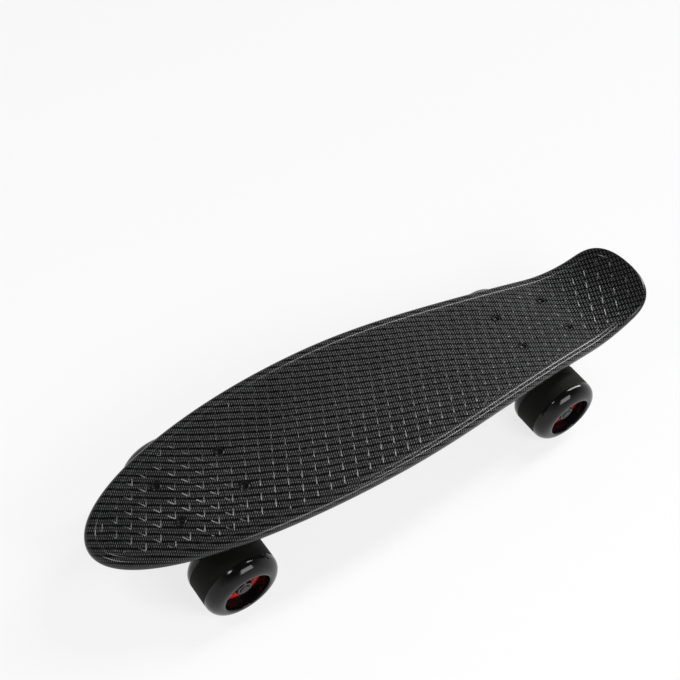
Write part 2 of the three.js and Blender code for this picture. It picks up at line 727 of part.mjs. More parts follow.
// The hanger's long straight beam, with chamfered edges. Its ends step in to the collars round the axle.
function hangerBeam() {
  const section = (y, inset) => {
    const halfX = BEAM_WIDTH / 2 - inset;
    const halfZ = BEAM_HEIGHT / 2 - inset;
    const [flatX, flatZ] = [halfX - BEAM_CHAMFER, halfZ - BEAM_CHAMFER];
    return [
      [halfX, -flatZ], [halfX, flatZ], [flatX, halfZ], [-flatX, halfZ],
      [-halfX, flatZ], [-halfX, -flatZ], [-flatX, -halfZ], [flatX, -halfZ],
    ].map(([x, z]) => new THREE.Vector3(AXLE_OUTBOARD + x, y, -TRUCK_HEIGHT + BEAM_RISE + z));
  };
  const straight = BEAM_HALF_LENGTH - BEAM_CHAMFER;
  return loft([
    section(-BEAM_HALF_LENGTH, BEAM_CHAMFER),
    section(-straight, 0),
    section(straight, 0),
    section(BEAM_HALF_LENGTH, BEAM_CHAMFER),
  ]);
}

// The yoke between ring, beam and pivot stem: an outline in the XZ plane, YOKE_WIDTH wide.
function hangerYoke() {
  const fromRing = (slope) => {
    const out = new THREE.Vector3(Math.cos(slope), 0, Math.sin(slope));
    const up = new THREE.Vector3(-out.z, 0, out.x);
    return (run, aside) => ringCentre.clone().addScaledVector(out, run).addScaledVector(up, aside);
  };
  const onSteering = fromRing(steeringSlope);
  const onRing = fromRing(KINGPIN_LEAN);
  const ringRadius = RING_DIAMETER / 2;
  const stemRadius = STEM_ROOT_DIAMETER / 2;
  const wallRun = ringRadius - RING_THICKNESS / 2;
  const beamTop = -TRUCK_HEIGHT + BEAM_RISE + BEAM_HEIGHT / 2;
  const corners = [
    onRing(wallRun, RING_THICKNESS / 2 - RING_CUP_DEPTH),
    onSteering(ringRadius + SEAT_WALL, stemRadius),
    onSteering(steeringRun - PIVOT_DIAMETER - SEAT_WALL, stemRadius),
    onSteering(steeringRun - PIVOT_DIAMETER, stemRadius - SEAT_WALL),
    onSteering(steeringRun - PIVOT_DIAMETER, -stemRadius),
    new THREE.Vector3(AXLE_OUTBOARD + BEAM_WIDTH / 2 - BORE_GAP, 0, beamTop - stemRadius / 2),
    new THREE.Vector3(AXLE_OUTBOARD, 0, -TRUCK_HEIGHT),
    new THREE.Vector3(AXLE_OUTBOARD - BEAM_WIDTH / 2 + BORE_GAP, 0, beamTop - stemRadius / 2),
    onRing(ringRadius + BORE_GAP, -RING_THICKNESS / 2 - BORE_GAP),
    onRing(wallRun, -RING_THICKNESS / 2 + RING_CUP_DEPTH),
  ];
  const outline = new THREE.Shape(corners.map((point) => new THREE.Vector2(point.x, point.z)));
  const slab = new THREE.ExtrudeGeometry(outline, { depth: YOKE_WIDTH, bevelEnabled: false });
  return slab.rotateX(Math.PI / 2).translate(0, YOKE_WIDTH / 2, 0);
}

function hangerBody() {
  const ring = alongKingpin(rod(RING_DIAMETER / 2, ringStart, ringEnd, FINE_FACETS));
  const stem = alongSteering(turned([
    [0, steeringRun - 2 * PIVOT_DIAMETER],
    [STEM_ROOT_DIAMETER / 2, steeringRun - 2 * PIVOT_DIAMETER],
    [STEM_ROOT_DIAMETER / 2, steeringRun - 1.4 * PIVOT_DIAMETER],
    [PIVOT_DIAMETER / 2, steeringRun - PIVOT_DIAMETER],
    [PIVOT_DIAMETER / 2, steeringRun],
    [(PIVOT_DIAMETER / 2) * Math.SQRT1_2, steeringRun + (PIVOT_DIAMETER / 2) * Math.SQRT1_2],
    [0, pivotTip],
  ], SMALL_FACETS));
  const collars = [-1, 1].map((side) => {
    const stub = turned([
      [0, 0],
      [COLLAR_DIAMETER / 2, 0],
      [COLLAR_DIAMETER / 2, hangerEnd - WASHER_STEP],
      [AXLE_SPACER_DIAMETER / 2, hangerEnd - WASHER_STEP],
      [AXLE_SPACER_DIAMETER / 2, hangerEnd],
      [0, hangerEnd],
    ], FINE_FACETS);
    return stub.rotateX((-side * Math.PI) / 2).translate(AXLE_OUTBOARD, 0, -TRUCK_HEIGHT);
  });
  const whole = joined(ring, stem, hangerBeam(), hangerYoke(), ...collars);
  const pinBore = alongKingpin(rod(RING_BORE / 2, ringStart - OVERRUN, ringEnd + OVERRUN, SMALL_FACETS));
  const cupRadius = BUSHING_DIAMETER / 2 + BORE_GAP;
  const cups = [
    alongKingpin(rod(cupRadius, boardBushing, ringStart + RING_CUP_DEPTH, FINE_FACETS)),
    alongKingpin(rod(cupRadius, ringEnd - RING_CUP_DEPTH, kingpinNutStart, FINE_FACETS)),
  ];
  const throughAxle = rod(axleBore / 2, -axleReach, axleReach, SMALL_FACETS).rotateX(Math.PI / 2);
  throughAxle.translate(AXLE_OUTBOARD, 0, -TRUCK_HEIGHT);
  return cut(whole, pinBore, ...cups, throughAxle);
}

// The axle, with the two bearing spacers that sit on it.
function axleBody() {
  const radius = AXLE_DIAMETER / 2;
  const spacer = AXLE_SPACER_DIAMETER / 2;
  const near = wheelMiddle - bearingInner + SEAT_GAP;
  const far = wheelMiddle + bearingInner - SEAT_GAP;
  return turned([
    [0, -axleReach],
    [radius, -axleReach],
    [radius, -far],
    [spacer, -far],
    [spacer, -near],
    [radius, -near],
    [radius, near],
    [spacer, near],
    [spacer, far],
    [radius, far],
    [radius, axleReach],
    [0, axleReach],
  ], SMALL_FACETS).rotateX(Math.PI / 2).translate(AXLE_OUTBOARD, 0, -TRUCK_HEIGHT);
}

// Wheel pieces are drawn round Z, about the wheel's own middle, and then turned onto the axle.
function tyreBody() {
  const outer = WHEEL_DIAMETER / 2;
  const half = WHEEL_WIDTH / 2;
  const mouth = outer - LIP_RADIUS - MOUTH_ROUND;
  const seat = CORE_DIAMETER / 2 + BORE_GAP;
  const floor = half - RECESS_DEPTH;
  const side = [];
  for (const turn of [0, 1, 2, 3]) {
    const angle = (turn * Math.PI) / 6;
    side.push([outer - LIP_RADIUS * (1 - Math.cos(angle)), half - LIP_RADIUS * (1 - Math.sin(angle))]);
  }
  side.push([mouth, half - MOUTH_ROUND]);
  side.push([seat, floor]);
  const under = side.map(([radius, height]) => [radius, -height]).reverse();
  return turned([...under, ...side, under[0]], WHEEL_FACETS);
}

function coreBody() {
  const seat = BEARING_DIAMETER / 2 + BORE_GAP;
  const flange = bearingInner - SEAT_GAP;
  const side = [
    [CORE_DIAMETER / 2, bearingOuter - CORE_CHAMFER],
    [CORE_DIAMETER / 2 - CORE_CHAMFER, bearingOuter],
    [seat, bearingOuter],
    [seat, flange],
    [CORE_FLANGE_BORE / 2, flange],
  ];
  const under = side.map(([radius, height]) => [radius, -height]).reverse();
  return turned([...under, ...side, under[0]], FINE_FACETS);
}

function bearingBody() {
  return collar(BEARING_BORE / 2 + BORE_GAP, BEARING_DIAMETER / 2, bearingInner, bearingOuter, SMALL_FACETS);
}

// The axle nut, with the thin speed washer it turns against.
function axleNut() {
  const start = nutStart - wheelMiddle;
  const washer = rod(AXLE_SPACER_DIAMETER / 2, start, start + WASHER_STEP, SMALL_FACETS);
  const nut = hexNut(AXLE_NUT_FLATS, axleBore, start + WASHER_STEP, AXLE_NUT_HEIGHT, SMALL_FACETS);
  const bore = rod(axleBore / 2, start - OVERRUN, start + WASHER_STEP + OVERRUN, SMALL_FACETS);
  return cut(joined(nut, washer), bore);
}

// A wheel's pieces point their +Z away from the truck and stand level, whatever the truck's tilt.
function wheelAt(name, side) {
  const wheel = new THREE.Group();
  wheel.position.set(AXLE_OUTBOARD, side * wheelMiddle, -TRUCK_HEIGHT);
  wheel.rotation.set(0, -tilt, 0);
  const turn = (mesh) => {
    mesh.rotation.set((-side * Math.PI) / 2, 0, 0);
    return mesh;
  };
  wheel.add(turn(piece(`${name}_tyre`, tyreBody(), paint.tyre)));
  wheel.add(turn(piece(`${name}_core`, coreBody(), paint.core)));
  wheel.add(turn(piece(`${name}_outer_bearing`, bearingBody(), paint.steel)));
  wheel.add(turn(piece(`${name}_inner_bearing`, bearingBody().rotateX(Math.PI), paint.steel)));
  wheel.add(turn(piece(`${name}_axle_nut`, axleNut(), paint.zinc)));
  return wheel;
}

// One truck with its bolts and wheels. It is drawn with +X pointing away from the deck's middle.
function truckAt(name, sides) {
  const truck = new THREE.Group();
  truck.rotation.set(0, tilt, 0);
  truck.add(piece(`${name}_baseplate`, baseplateBody(), paint.satinBlack));
  truck.add(piece(`${name}_pivot_cup`, pivotCup(), paint.cup));
  truck.add(piece(`${name}_hanger`, hangerBody(), paint.satinBlack));
  truck.add(piece(`${name}_axle`, axleBody(), paint.steel));
  truck.add(piece(`${name}_kingpin`, kingpinBody(), paint.zinc));
  truck.add(piece(`${name}_kingpin_nut`, kingpinNut(), paint.zinc));
  truck.add(piece(`${name}_boardside_washer`, cupWasher(boardWasher), paint.zinc));
  truck.add(piece(`${name}_roadside_washer`, cupWasher(roadWasher), paint.zinc));
  const lower = bushing(boardBushing, BOARDSIDE_BUSHING_HEIGHT, BUSHING_DIAMETER, BUSHING_DIAMETER);
  truck.add(piece(`${name}_boardside_bushing`, lower, paint.urethane));
  const upper = bushing(roadBushing, ROADSIDE_BUSHING_HEIGHT, BUSHING_DIAMETER, ROADSIDE_BUSHING_TIP_DIAMETER);
  truck.add(piece(`${name}_roadside_bushing`, upper, paint.urethane));
  boltPlaces.forEach(([x, y], i) => {
    truck.add(piece(`${name}_bolt_${i + 1}`, boltBody().translate(x, y, 0), paint.blackSteel));
    truck.add(piece(`${name}_bolt_nut_${i + 1}`, boltNut().translate(x, y, 0), paint.blackSteel));
  });
  truck.add(wheelAt(`${name}_left`, sides.left));
  truck.add(wheelAt(`${name}_right`, sides.right));
  return truck;
}

// Whole board. The rear truck is the front one turned half round, so its left wheel is on its own -Y side.
function cruiser() {
  const board = new THREE.Group();
  const ends = [
    { name: "front", x: TRUCKS_AHEAD + padAway, turn: 0, sides: { left: 1, right: -1 } },
    { name: "rear", x: TRUCKS_AHEAD - padAway, turn: Math.PI, sides: { left: -1, right: 1 } },
  ];
  const trucks = ends.map(({ name, x, turn, sides }) => {
    const place = new THREE.Group();
    place.position.set(x, 0, padHeight);
    place.rotation.set(0, 0, turn);
    const truck = truckAt(name, sides);
    place.add(truck);
    board.add(place);
    return truck;
  });
  board.updateMatrixWorld(true);
  const frames = trucks.map((truck) => truck.matrixWorld.clone());
  board.add(piece("deck", deckBody(frames), paint.deck));
  return board;
}

export default cruiser();
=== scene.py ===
"""Looks of a cruiser skateboard. Its lengths are in millimetres, and MM turns them into metres."""

import math

import bmesh
import bpy
import numpy as np
from mathutils import Matrix, Vector
from mathutils.geometry import delaunay_2d_cdt


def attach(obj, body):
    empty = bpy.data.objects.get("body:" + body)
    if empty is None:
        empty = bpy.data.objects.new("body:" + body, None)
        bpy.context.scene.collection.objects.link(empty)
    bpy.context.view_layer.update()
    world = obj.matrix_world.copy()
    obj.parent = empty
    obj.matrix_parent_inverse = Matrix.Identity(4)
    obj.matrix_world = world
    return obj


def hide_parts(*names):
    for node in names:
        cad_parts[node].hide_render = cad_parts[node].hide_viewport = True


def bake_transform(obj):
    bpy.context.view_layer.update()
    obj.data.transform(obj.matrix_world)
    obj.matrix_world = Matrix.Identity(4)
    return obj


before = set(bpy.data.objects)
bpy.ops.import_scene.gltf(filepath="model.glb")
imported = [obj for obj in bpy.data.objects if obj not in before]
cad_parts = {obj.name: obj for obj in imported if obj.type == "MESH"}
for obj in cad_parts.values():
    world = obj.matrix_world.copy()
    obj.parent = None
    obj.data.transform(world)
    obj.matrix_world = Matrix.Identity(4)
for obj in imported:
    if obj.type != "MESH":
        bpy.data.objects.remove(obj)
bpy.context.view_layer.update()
MM = 0.001
FULL = 2 * math.pi

# Camera at the photograph's place, focal length and framing
CAMERA = (0.4930, 0.4294, 0.8647)
RIGHT = Vector((-0.814851, 0.567513, 0.118094))
DOWN = Vector((0.379737, 0.676533, -0.630954))
LENS = 64.23
SHIFT = (0.0465, 0.0567)

# Deck outline
LENGTH = 560.0
WIDTH = 142.0
WIDEST_AHEAD = 45.0
NOSE_BLUNTNESS = 42.0
NOSE_TAPER = 135.0
WAIST_RUN = 78.0
SHOULDER_BEHIND = 251.0
SHOULDER_HALF = 42.5
TAPER_RUN = 163.0
TAPER_RISE = 16.0
CORNER_RUN = 10.0
CORNER_DROP = 1.0
TAIL_BLUNTNESS = 40.0

# Deck profile, edges and grip pads
THICK = 10.0
AHEAD = 9.2
ARCH = 1765.0
KICK_START = 196.0
KICK_RADIUS = 102.0
KICK_ANGLE = math.radians(36)
TOP_ROUND = 4.0
LOW_ROUND = 4.5
FIELD_INSET = 9.4
FIELD_SINK = 0.45
BEAD_INSET = 5.8
BEAD_WIDTH = 2.5
BEAD_RISE = 0.2
BEAD_SLOPE = 0.25
BEAD_FALL = 0.6
BEAD_FOOT = 0.6
PRINT_LEFT = 0.42
PAD_PITCH = 12.6
PAD_SIDE = 8.2
PAD_CORNER = 0.8
PAD_CHAMFER = 0.8
PAD_CHAMFER_ANGLE = math.radians(20)
PAD_MARGIN = 1.2
PAD_START = (173.6, 4.8)
PAD_STRAY = 3.0
PAD_ROOT = 0.15
PAD_BOLT_CLEAR = 4.5
PAD_ROWS = 60
LEAST_PAD = 9.0

# Print of the deck: rows counted across it and ticks counted along it, per millimetre
ROW_DENSITY = 0.15
ROW_SPREAD = -0.0001
ROW_LEAN = 0.05
ROW_CURL = 0.000085
ROW_DRIFT = 1.7
TICK_ALONG = -0.369
TICK_ACROSS = 0.321
TICK_CLOSER = 0.0008
TICK_DRIFT = 2.2

# Recesses of the underside
RIM_BAND = 12.0
PAN_HALF = 109.0
PAN_DEPTH = 1.5
PAN_SLOPE = 4.0
PAN_END_HALF = 24.0
PAN_FRONT_CORNER = 13.0
PAN_REAR_CORNER = 6.0
PAN_REAR_BOW = 3.0
SPEAR_DEPTH = 5.0
SPEAR_SLOPE = 3.0
SPEAR_TIP = 1.0
SPEAR_SWELL = 14.0
SPEAR_SPREAD = 24.0
SPEAR_PINCH = 3.5
CRESCENT_AHEAD = 234.0
CRESCENT_HALF = 28.0
CRESCENT_OUTER = 29.0
CRESCENT_INNER = 9.0
CRESCENT_DEPTH = 1.6
CRESCENT_SLOPE = 1.3
SLOT_DEPTH = 2.2
SLOT_SLOPE = 0.9
TAIL_SLOT_WIDTH = 8.0
TAIL_LEG_START = (-218.0, 25.0)
TAIL_LEG_END = (-257.0, 21.0)
SIDE_SLOT_WIDTH = 6.0
SIDE_SLOT_START = (-123.0, 43.8)
SIDE_SLOT_END = (-174.0, 37.0)
MOUNT_HALF_LENGTH = 46.0
MOUNT_SLOPE = 0.8
MOUNT_RAISE = 1.2
FRONT_MOUNT = (50.0, 34.0)
REAR_MOUNT = (38.0, 28.0)

# Bolts
BOLT_AWAY = 28.5
BOLT_ASIDE = 18.5
BOLT_R = 2.5
BOLT_CHAMFER = 0.2
BOLT_HOLE_R = 2.8
BOLT_HOLE_TOP = 7.6
BOLT_MOUTH_R = 5.0
BOLT_TOP = 10.4
BOLT_END = -10.6
BOLT_HEAD_R = 4.7
BOLT_HEAD_TALL = 2.8
BOLT_HEAD_EDGE = 0.6
BOLT_HEAD_BEVEL = 1.2
SOCKET_R = 2.8
SOCKET_FLOOR_R = 2.4
SOCKET_WALL = 1.9
SOCKET_DEPTH = 2.3
BOLT_NUT_FLATS = 8.0
BOLT_NUT_HEIGHT = 4.0
BOLT_NUT_LOW = 5.6

# All nuts; the chamfer is given as (down from the top, out from the flats)
NUT_MOUTH = 0.4
NUT_EDGE = 0.5
NUT_FOOT = 0.25
NUT_CHAMFER = ((0.5, 0.55), (0.05, 0.02))
NUT_CROWN = 0.8

# Wheels and axle; the mouth's arc is given as (out from the mouth, in from the face)
WHEEL_FACETS = 24
WHEEL_FULL_R = 33.0
WHEEL_R = WHEEL_FULL_R * math.cos(math.pi / WHEEL_FACETS)
WHEEL_W = 45.0
TREAD_EDGE = 0.6
LIP_R = 11.0
MOUTH_ROUND = 1.5
MOUTH_ARC = ((0.55, 0.1), (0.12, 0.5))
RECESS_FLOOR = 10.0
CORE_R = 19.3
CORE_CHAMFER = 1.0
CORE_RIM_RISE = 1.2
CORE_RIM_EDGE = 0.5
CORE_RIM_FLAT = 3.2
CORE_RIM_FOOT = 4.0
BEARING_R = 11.0
BEARING_LOW = 4.0
BEARING_HIGH = 11.0
SEAL_INNER_R = 6.3
SEAL_OUTER_R = 9.3
SEAL_WALL = 0.1
SEAL_SINK = 0.4
FLANGE_R = 8.8
AXLE_R = 4.0
SPACER_R = 5.7
AXLE_REACH = 70.1
SPACER_NEAR = 48.1
SPACER_FAR = 55.5
AXLE_NUT_FLATS = 13.0
AXLE_NUT_HEIGHT = 5.6
WASHER_STEP = 0.8
GAP = 0.3

# Trucks; the bushing's edge and the washer's bevel are given as (in from the side, along the pin)
PAD_HALF = 173.0
OUTBOARD = 4.4
TRUCK_HEIGHT = 44.0
TRACK = 103.6
LEAN = math.radians(10)
SEAT = Vector((-19.5, 0, -18.5))
PIVOT = Vector((22.0, 0, -10.5))
PIVOT_REACH = 4.8
CUP_WALL = 2.15
CUP_DEPTH = 11.6
CUP_BACK = 1.1
CUP_SHOULDER = 0.6 * PIVOT_REACH
KINGPIN_R = 4.0
KINGPIN_TIP_R = 3.0
THREAD_DEPTH = 0.4
THREAD_PITCH = 0.95
THREAD_COUNT = 11
THREAD_RUN = 12.0
HEAD_R = 6.5
HEAD_FOOT = -3.5
HEAD_TOP = -7.5
HEAD_CHAMFER = 0.4
BORE_R = 4.3
BUSHING_R = 10.2
BUSHING_TIP_R = 9.0
BUSHING_WAIST = 0.25
BUSHING_EDGE = ((1.6, 0.0), (0.3, 0.6), (0.0, 1.8))
BOARD_BUSHING_TALL = 11.0
ROAD_BUSHING_TALL = 8.5
WASHER_THICK = 1.5
WASHER_BEVEL = (0.2, 0.4)
KINGPIN_NUT_FLATS = 13.0
KINGPIN_NUT_HEIGHT = 6.5
COLLAR_R = 5.5
COLLAR_HEIGHT = 2.0
STICKOUT = 1.0
RING_THICK = 7.0
RING_SINK = 0.8

# Blank sticker
LABEL_LENGTH = 61.0
LABEL_WIDTH = 25.0
LABEL_AHEAD = 21.2
LABEL_ASIDE = 1.0
LABEL_CORNER = 2.0
LABEL_THICK = 0.12

# Stage, in metres. The sky's levels go from the horizon up; a lamp has a name, its place, the direction
# of its first side, the lengths of its two sides, and its power in watts.
FLOOR_HALF = 6.0
SKY = ((0.0, 0.93), (0.15, 0.85), (0.42, 0.5), (0.6, 0.26), (0.74, 0.07), (0.86, 0.02))
LAMPS = (
    ("strip_behind", (-1.36, -0.16, 1.45), (-0.5, 0.02, -0.45), (1.7, 0.28), 30),
    ("box_near", (-0.11, 0.75, 0.77), (1, 0, 0), (0.6, 0.5), 7),
    ("box_above", (0.57, -0.09, 0.79), (1, 0, 0), (0.15, 0.15), 1.3),
)

# Worked out from the sizes above
TILT = math.atan(PAD_HALF / ARCH)
PAD_Z = WHEEL_R + OUTBOARD * math.sin(TILT) + TRUCK_HEIGHT * math.cos(TILT)
DECK_AT_PAD = THICK + MOUNT_RAISE
CROWN = PAD_Z + DECK_AT_PAD + PAD_HALF**2 / (2 * ARCH)
BOLTS = [(BOLT_AWAY * a, BOLT_ASIDE * b) for a in (-1, 1) for b in (1, -1)]
BOARD_WASHER = GAP
BOARD_BUSHING = BOARD_WASHER + WASHER_THICK + GAP
RING_START = BOARD_BUSHING + BOARD_BUSHING_TALL + GAP - RING_SINK
ROAD_BUSHING = RING_START + RING_THICK + GAP - RING_SINK
ROAD_WASHER = ROAD_BUSHING + ROAD_BUSHING_TALL + GAP
NUT_START = ROAD_WASHER + WASHER_THICK + GAP
NUT_END = NUT_START + KINGPIN_NUT_HEIGHT
PIN_END = NUT_END + COLLAR_HEIGHT + STICKOUT
RING_AT = RING_START + RING_THICK / 2
RING = SEAT + Vector((math.sin(LEAN) * RING_AT, 0, -math.cos(LEAN) * RING_AT))
STEER_RUN = (PIVOT - RING).length
STEER = math.atan2(PIVOT.z - RING.z, PIVOT.x - RING.x)


def eased(t):
    """Nought to one, level at both ends."""
    return t * t * (3 - 2 * t)


# Deck shape
def top_z(x):
    x = np.asarray(x, float)
    run = np.maximum(-KICK_START - x, 0)
    curved = KICK_RADIUS * math.sin(KICK_ANGLE)
    bend = KICK_RADIUS - np.sqrt(KICK_RADIUS**2 - np.minimum(run, curved) ** 2)
    return CROWN - (x - AHEAD) ** 2 / (2 * ARCH) + bend + np.maximum(run - curved, 0) * math.tan(KICK_ANGLE)


def bezier(a, b, c, d, steps):
    t = np.linspace(0, 1, steps + 1)[:, None]
    a, b, c, d = (np.array(p, float) for p in (a, b, c, d))
    return a * (1 - t) ** 3 + 3 * b * t * (1 - t) ** 2 + 3 * c * t**2 * (1 - t) + d * t**3


def deck_outline():
    """The outline's left half, from nose to tail, and the whole outline."""
    nose, side, tail = LENGTH / 2, WIDTH / 2, -LENGTH / 2
    widest = (WIDEST_AHEAD, side)
    shoulder = (-SHOULDER_BEHIND, SHOULDER_HALF)
    waist = (WIDEST_AHEAD - WAIST_RUN, side)
    taper = (TAPER_RUN - SHOULDER_BEHIND, SHOULDER_HALF + TAPER_RISE)
    corner = (-SHOULDER_BEHIND - CORNER_RUN, SHOULDER_HALF - CORNER_DROP)
    half = np.vstack([
        bezier((nose, 0), (nose, NOSE_BLUNTNESS), (WIDEST_AHEAD + NOSE_TAPER, side), widest, 110),
        bezier(widest, waist, taper, shoulder, 120)[1:],
        bezier(shoulder, corner, (tail, TAIL_BLUNTNESS), (tail, 0), 40)[1:],
    ])
    return half, np.vstack([half, half[-2:0:-1] * (1, -1)])


def lengths(vectors):
    return np.linalg.norm(vectors, axis=1)


def leftward(outline):
    """Unit vectors to the left of a closed outline, one at each point."""
    along = np.roll(outline, -1, 0) - np.roll(outline, 1, 0)
    along /= np.maximum(lengths(along), 1e-9)[:, None]
    return np.stack([-along[:, 1], along[:, 0]], 1)


HALF, OUTLINE = deck_outline()
INWARD = leftward(OUTLINE)


def half_width(x):
    return np.interp(-np.asarray(x, float), -HALF[:, 0], HALF[:, 1])


def signed(points, polygon):
    """Distance from each point to the polygon's edge, positive inside."""
    points, a = np.asarray(points, float), np.asarray(polygon, float)
    b = np.roll(a, -1, 0)
    best = np.full(len(points), np.inf)
    inside = np.zeros(len(points), bool)
    for p, q, e in zip(a, b, b - a):
        v = points - p
        t = np.clip(v @ e / max(e @ e, 1e-12), 0, 1)
        best = np.minimum(best, ((v - t[:, None] * e) ** 2).sum(1))
        crosses = (p[1] > points[:, 1]) != (q[1] > points[:, 1])
        with np.errstate(divide="ignore", invalid="ignore"):
            at = p[0] + (points[:, 1] - p[1]) * e[0] / e[1]
        inside ^= crosses & (points[:, 0] < at)
    return np.where(inside, 1, -1) * np.sqrt(best)


def resampled(polygon, step):
    a = np.asarray(polygon, float)
    closed = np.vstack([a, a[:1]])
    length = np.r_[0, np.cumsum(lengths(np.diff(closed, axis=0)))]
    at = np.linspace(0, length[-1], max(8, int(length[-1] / step)), endpoint=False)
    return np.stack([np.interp(at, length, closed[:, k]) for k in (0, 1)], 1)


# Mesh making
def placed(name, data):
    """A new object in the scene."""
    thing = bpy.data.objects.new(name, data)
    bpy.context.scene.collection.objects.link(thing)
    return thing


def made(name, verts, faces, material, sharp=32.0, weld=0.0, materials=(), pick=None):
    """A mesh object from millimetres, with its faces turned outwards and smooth up to the sharp angle."""
    mesh = bpy.data.meshes.new(name)
    mesh.from_pydata([tuple(c * MM for c in v) for v in verts], [], [tuple(f) for f in faces])
    bm = bmesh.new()
    bm.from_mesh(mesh)
    if weld:
        bmesh.ops.remove_doubles(bm, verts=bm.verts, dist=weld * MM)
    bmesh.ops.recalc_face_normals(bm, faces=bm.faces)
    for face in bm.faces:
        face.smooth = True
    for edge in bm.edges:
        edge.smooth = len(edge.link_faces) == 2 and edge.calc_face_angle(0) < math.radians(sharp)
    if pick:
        for face in bm.faces:
            face.material_index = pick(face.calc_center_median() / MM)
    bm.to_mesh(mesh)
    bm.free()
    for m in (material, *materials):
        mesh.materials.append(m)
    return placed(name, mesh)


def dress(thing, body, node):
    """Ties a piece to its body and hides the CAD node that it stands for."""
    if body:
        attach(thing, body)
    if node:
        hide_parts(node)
    return thing


def strips(rings):
    """Vertices and quads that join rings of equally many points, open at both ends."""
    n = len(rings[0])
    verts = [p for ring in rings for p in ring]
    faces = []
    for r in range(len(rings) - 1):
        for i in range(n):
            a, b = r * n + i, r * n + (i + 1) % n
            faces.append((a, b, b + n, a + n))
    return verts, faces


def capped(rings):
    """Joined rings with a face that closes the last one."""
    verts, faces = strips(rings)
    faces.append(range(len(verts) - len(rings[0]), len(verts)))
    return verts, faces


def merged(parts):
    """The vertices and faces of several parts in one list each."""
    verts, faces = [], []
    for part_verts, part_faces in parts:
        faces += [[k + len(verts) for k in face] for face in part_faces]
        verts += part_verts
    return verts, faces


def lathe(profile, matrix, steps=64, closed=False):
    """A profile of (radius, height) turned round Z and placed by a matrix in millimetres."""
    rows = list(profile) + ([profile[0]] if closed else [])
    turns = [FULL * k / steps for k in range(steps)]
    verts, faces, index = [], [], []
    for r, z in rows:
        if r < 1e-6:
            index.append([len(verts)] * steps)
            verts.append((0, 0, z))
        else:
            index.append(list(range(len(verts), len(verts) + steps)))
            verts += [(r * math.cos(t), r * math.sin(t), z) for t in turns]
    if closed:
        index[-1] = index[0]
    for a, b in zip(index, index[1:]):
        for k in range(steps):
            quad = [a[k], a[(k + 1) % steps], b[(k + 1) % steps], b[k]]
            face = [v for j, v in enumerate(quad) if v != quad[j - 1]]
            if len(face) > 2:
                faces.append(face)
    return [matrix @ Vector(v) for v in verts], faces


def rounded(profile, radius, steps=4, on_axis=True):
    """The profile with its inner corners rounded; the two ends and, where asked, corners on the axis stay."""
    pts = [np.array(p, float) for p in profile]
    out = [pts[0]]
    for a, b, c in zip(pts, pts[1:], pts[2:]):
        la, lc = np.linalg.norm(a - b), np.linalg.norm(c - b)
        r = min(radius, la * 0.45, lc * 0.45)
        if (on_axis and b[0] < 1e-6) or r < 1e-3:
            out.append(b)
            continue
        p, q = b + (a - b) / la * r, b + (c - b) / lc * r
        for t in np.linspace(0, 1, steps + 1):
            out.append(p * (1 - t) ** 2 + 2 * b * t * (1 - t) + q * t * t)
    return [tuple(p) for p in out + [pts[-1]]]


# Materials. Every colour below is worked out by nodes from the object's own coordinates.
def set_stops(ramp, stops):
    """Gives a colour ramp its stops of (place, colour)."""
    elements = ramp.color_ramp.elements
    while len(elements) < len(stops):
        elements.new(0.5)
    for element, (at, colour) in zip(elements, stops):
        element.position = at
        element.color = (*colour, 1)


class Nodes:
    def __init__(self, name):
        self.material = bpy.data.materials.new(name)
        self.material.use_nodes = True
        self.tree = self.material.node_tree
        self.shader = self.tree.nodes["Principled BSDF"]
        self.place = self.add("TexCoord").outputs["Object"]

    def add(self, kind, **values):
        node = self.tree.nodes.new("ShaderNode" + kind)
        for key, value in values.items():
            setattr(node, key, value)
        return node

    def link(self, source, target):
        if isinstance(source, (int, float)):
            target.default_value = source
        else:
            self.tree.links.new(source, target)

    def fill(self, node, **values):
        """Gives a node's sockets constants or other nodes' outputs, and returns its first output."""
        for key, value in values.items():
            socket = node.inputs[key.replace("_", " ")]
            if isinstance(value, tuple):
                socket.default_value = value
            else:
                self.link(value, socket)
        return node.outputs[0]

    def m(self, op, *args):
        node = self.add("Math", operation=op)
        for k, value in enumerate(args):
            self.link(value, node.inputs[k])
        return node.outputs[0]

    def times(self, a, b):
        return self.m("MULTIPLY", a, b)

    def parts(self, source):
        node = self.add("SeparateXYZ")
        self.link(source, node.inputs[0])
        return node.outputs

    def noise(self, scale, detail=3.0, rough=0.55, stretch=None):
        node = self.add("TexNoise")
        source = self.place
        if stretch:
            source = self.fill(self.add("Mapping"), Scale=stretch, Vector=source)
        self.fill(node, Scale=scale, Detail=detail, Roughness=rough, Vector=source)
        return node.outputs["Fac"]

    def ramp(self, source, stops):
        node = self.add("ValToRGB")
        set_stops(node, stops)
        self.link(source, node.inputs[0])
        return node.outputs[0]

    def mix(self, factor, a, b):
        node = self.add("Mix", data_type="RGBA")
        self.link(factor, node.inputs["Factor"])
        for value, socket in ((a, node.inputs["A"]), (b, node.inputs["B"])):
            if isinstance(value, tuple):
                socket.default_value = (*value, 1)
            else:
                self.link(value, socket)
        return node.outputs["Result"]

    def span(self, source, low, high, start=0.0, end=1.0):
        node = self.add("MapRange")
        return self.fill(node, Value=source, From_Min=start, From_Max=end, To_Min=low, To_Max=high)

    def bump(self, height, strength, distance):
        node = self.add("Bump")
        self.set(Normal=self.fill(node, Strength=strength, Distance=distance, Height=height))

    def set(self, **values):
        self.fill(self.shader, **values)
        return self.material


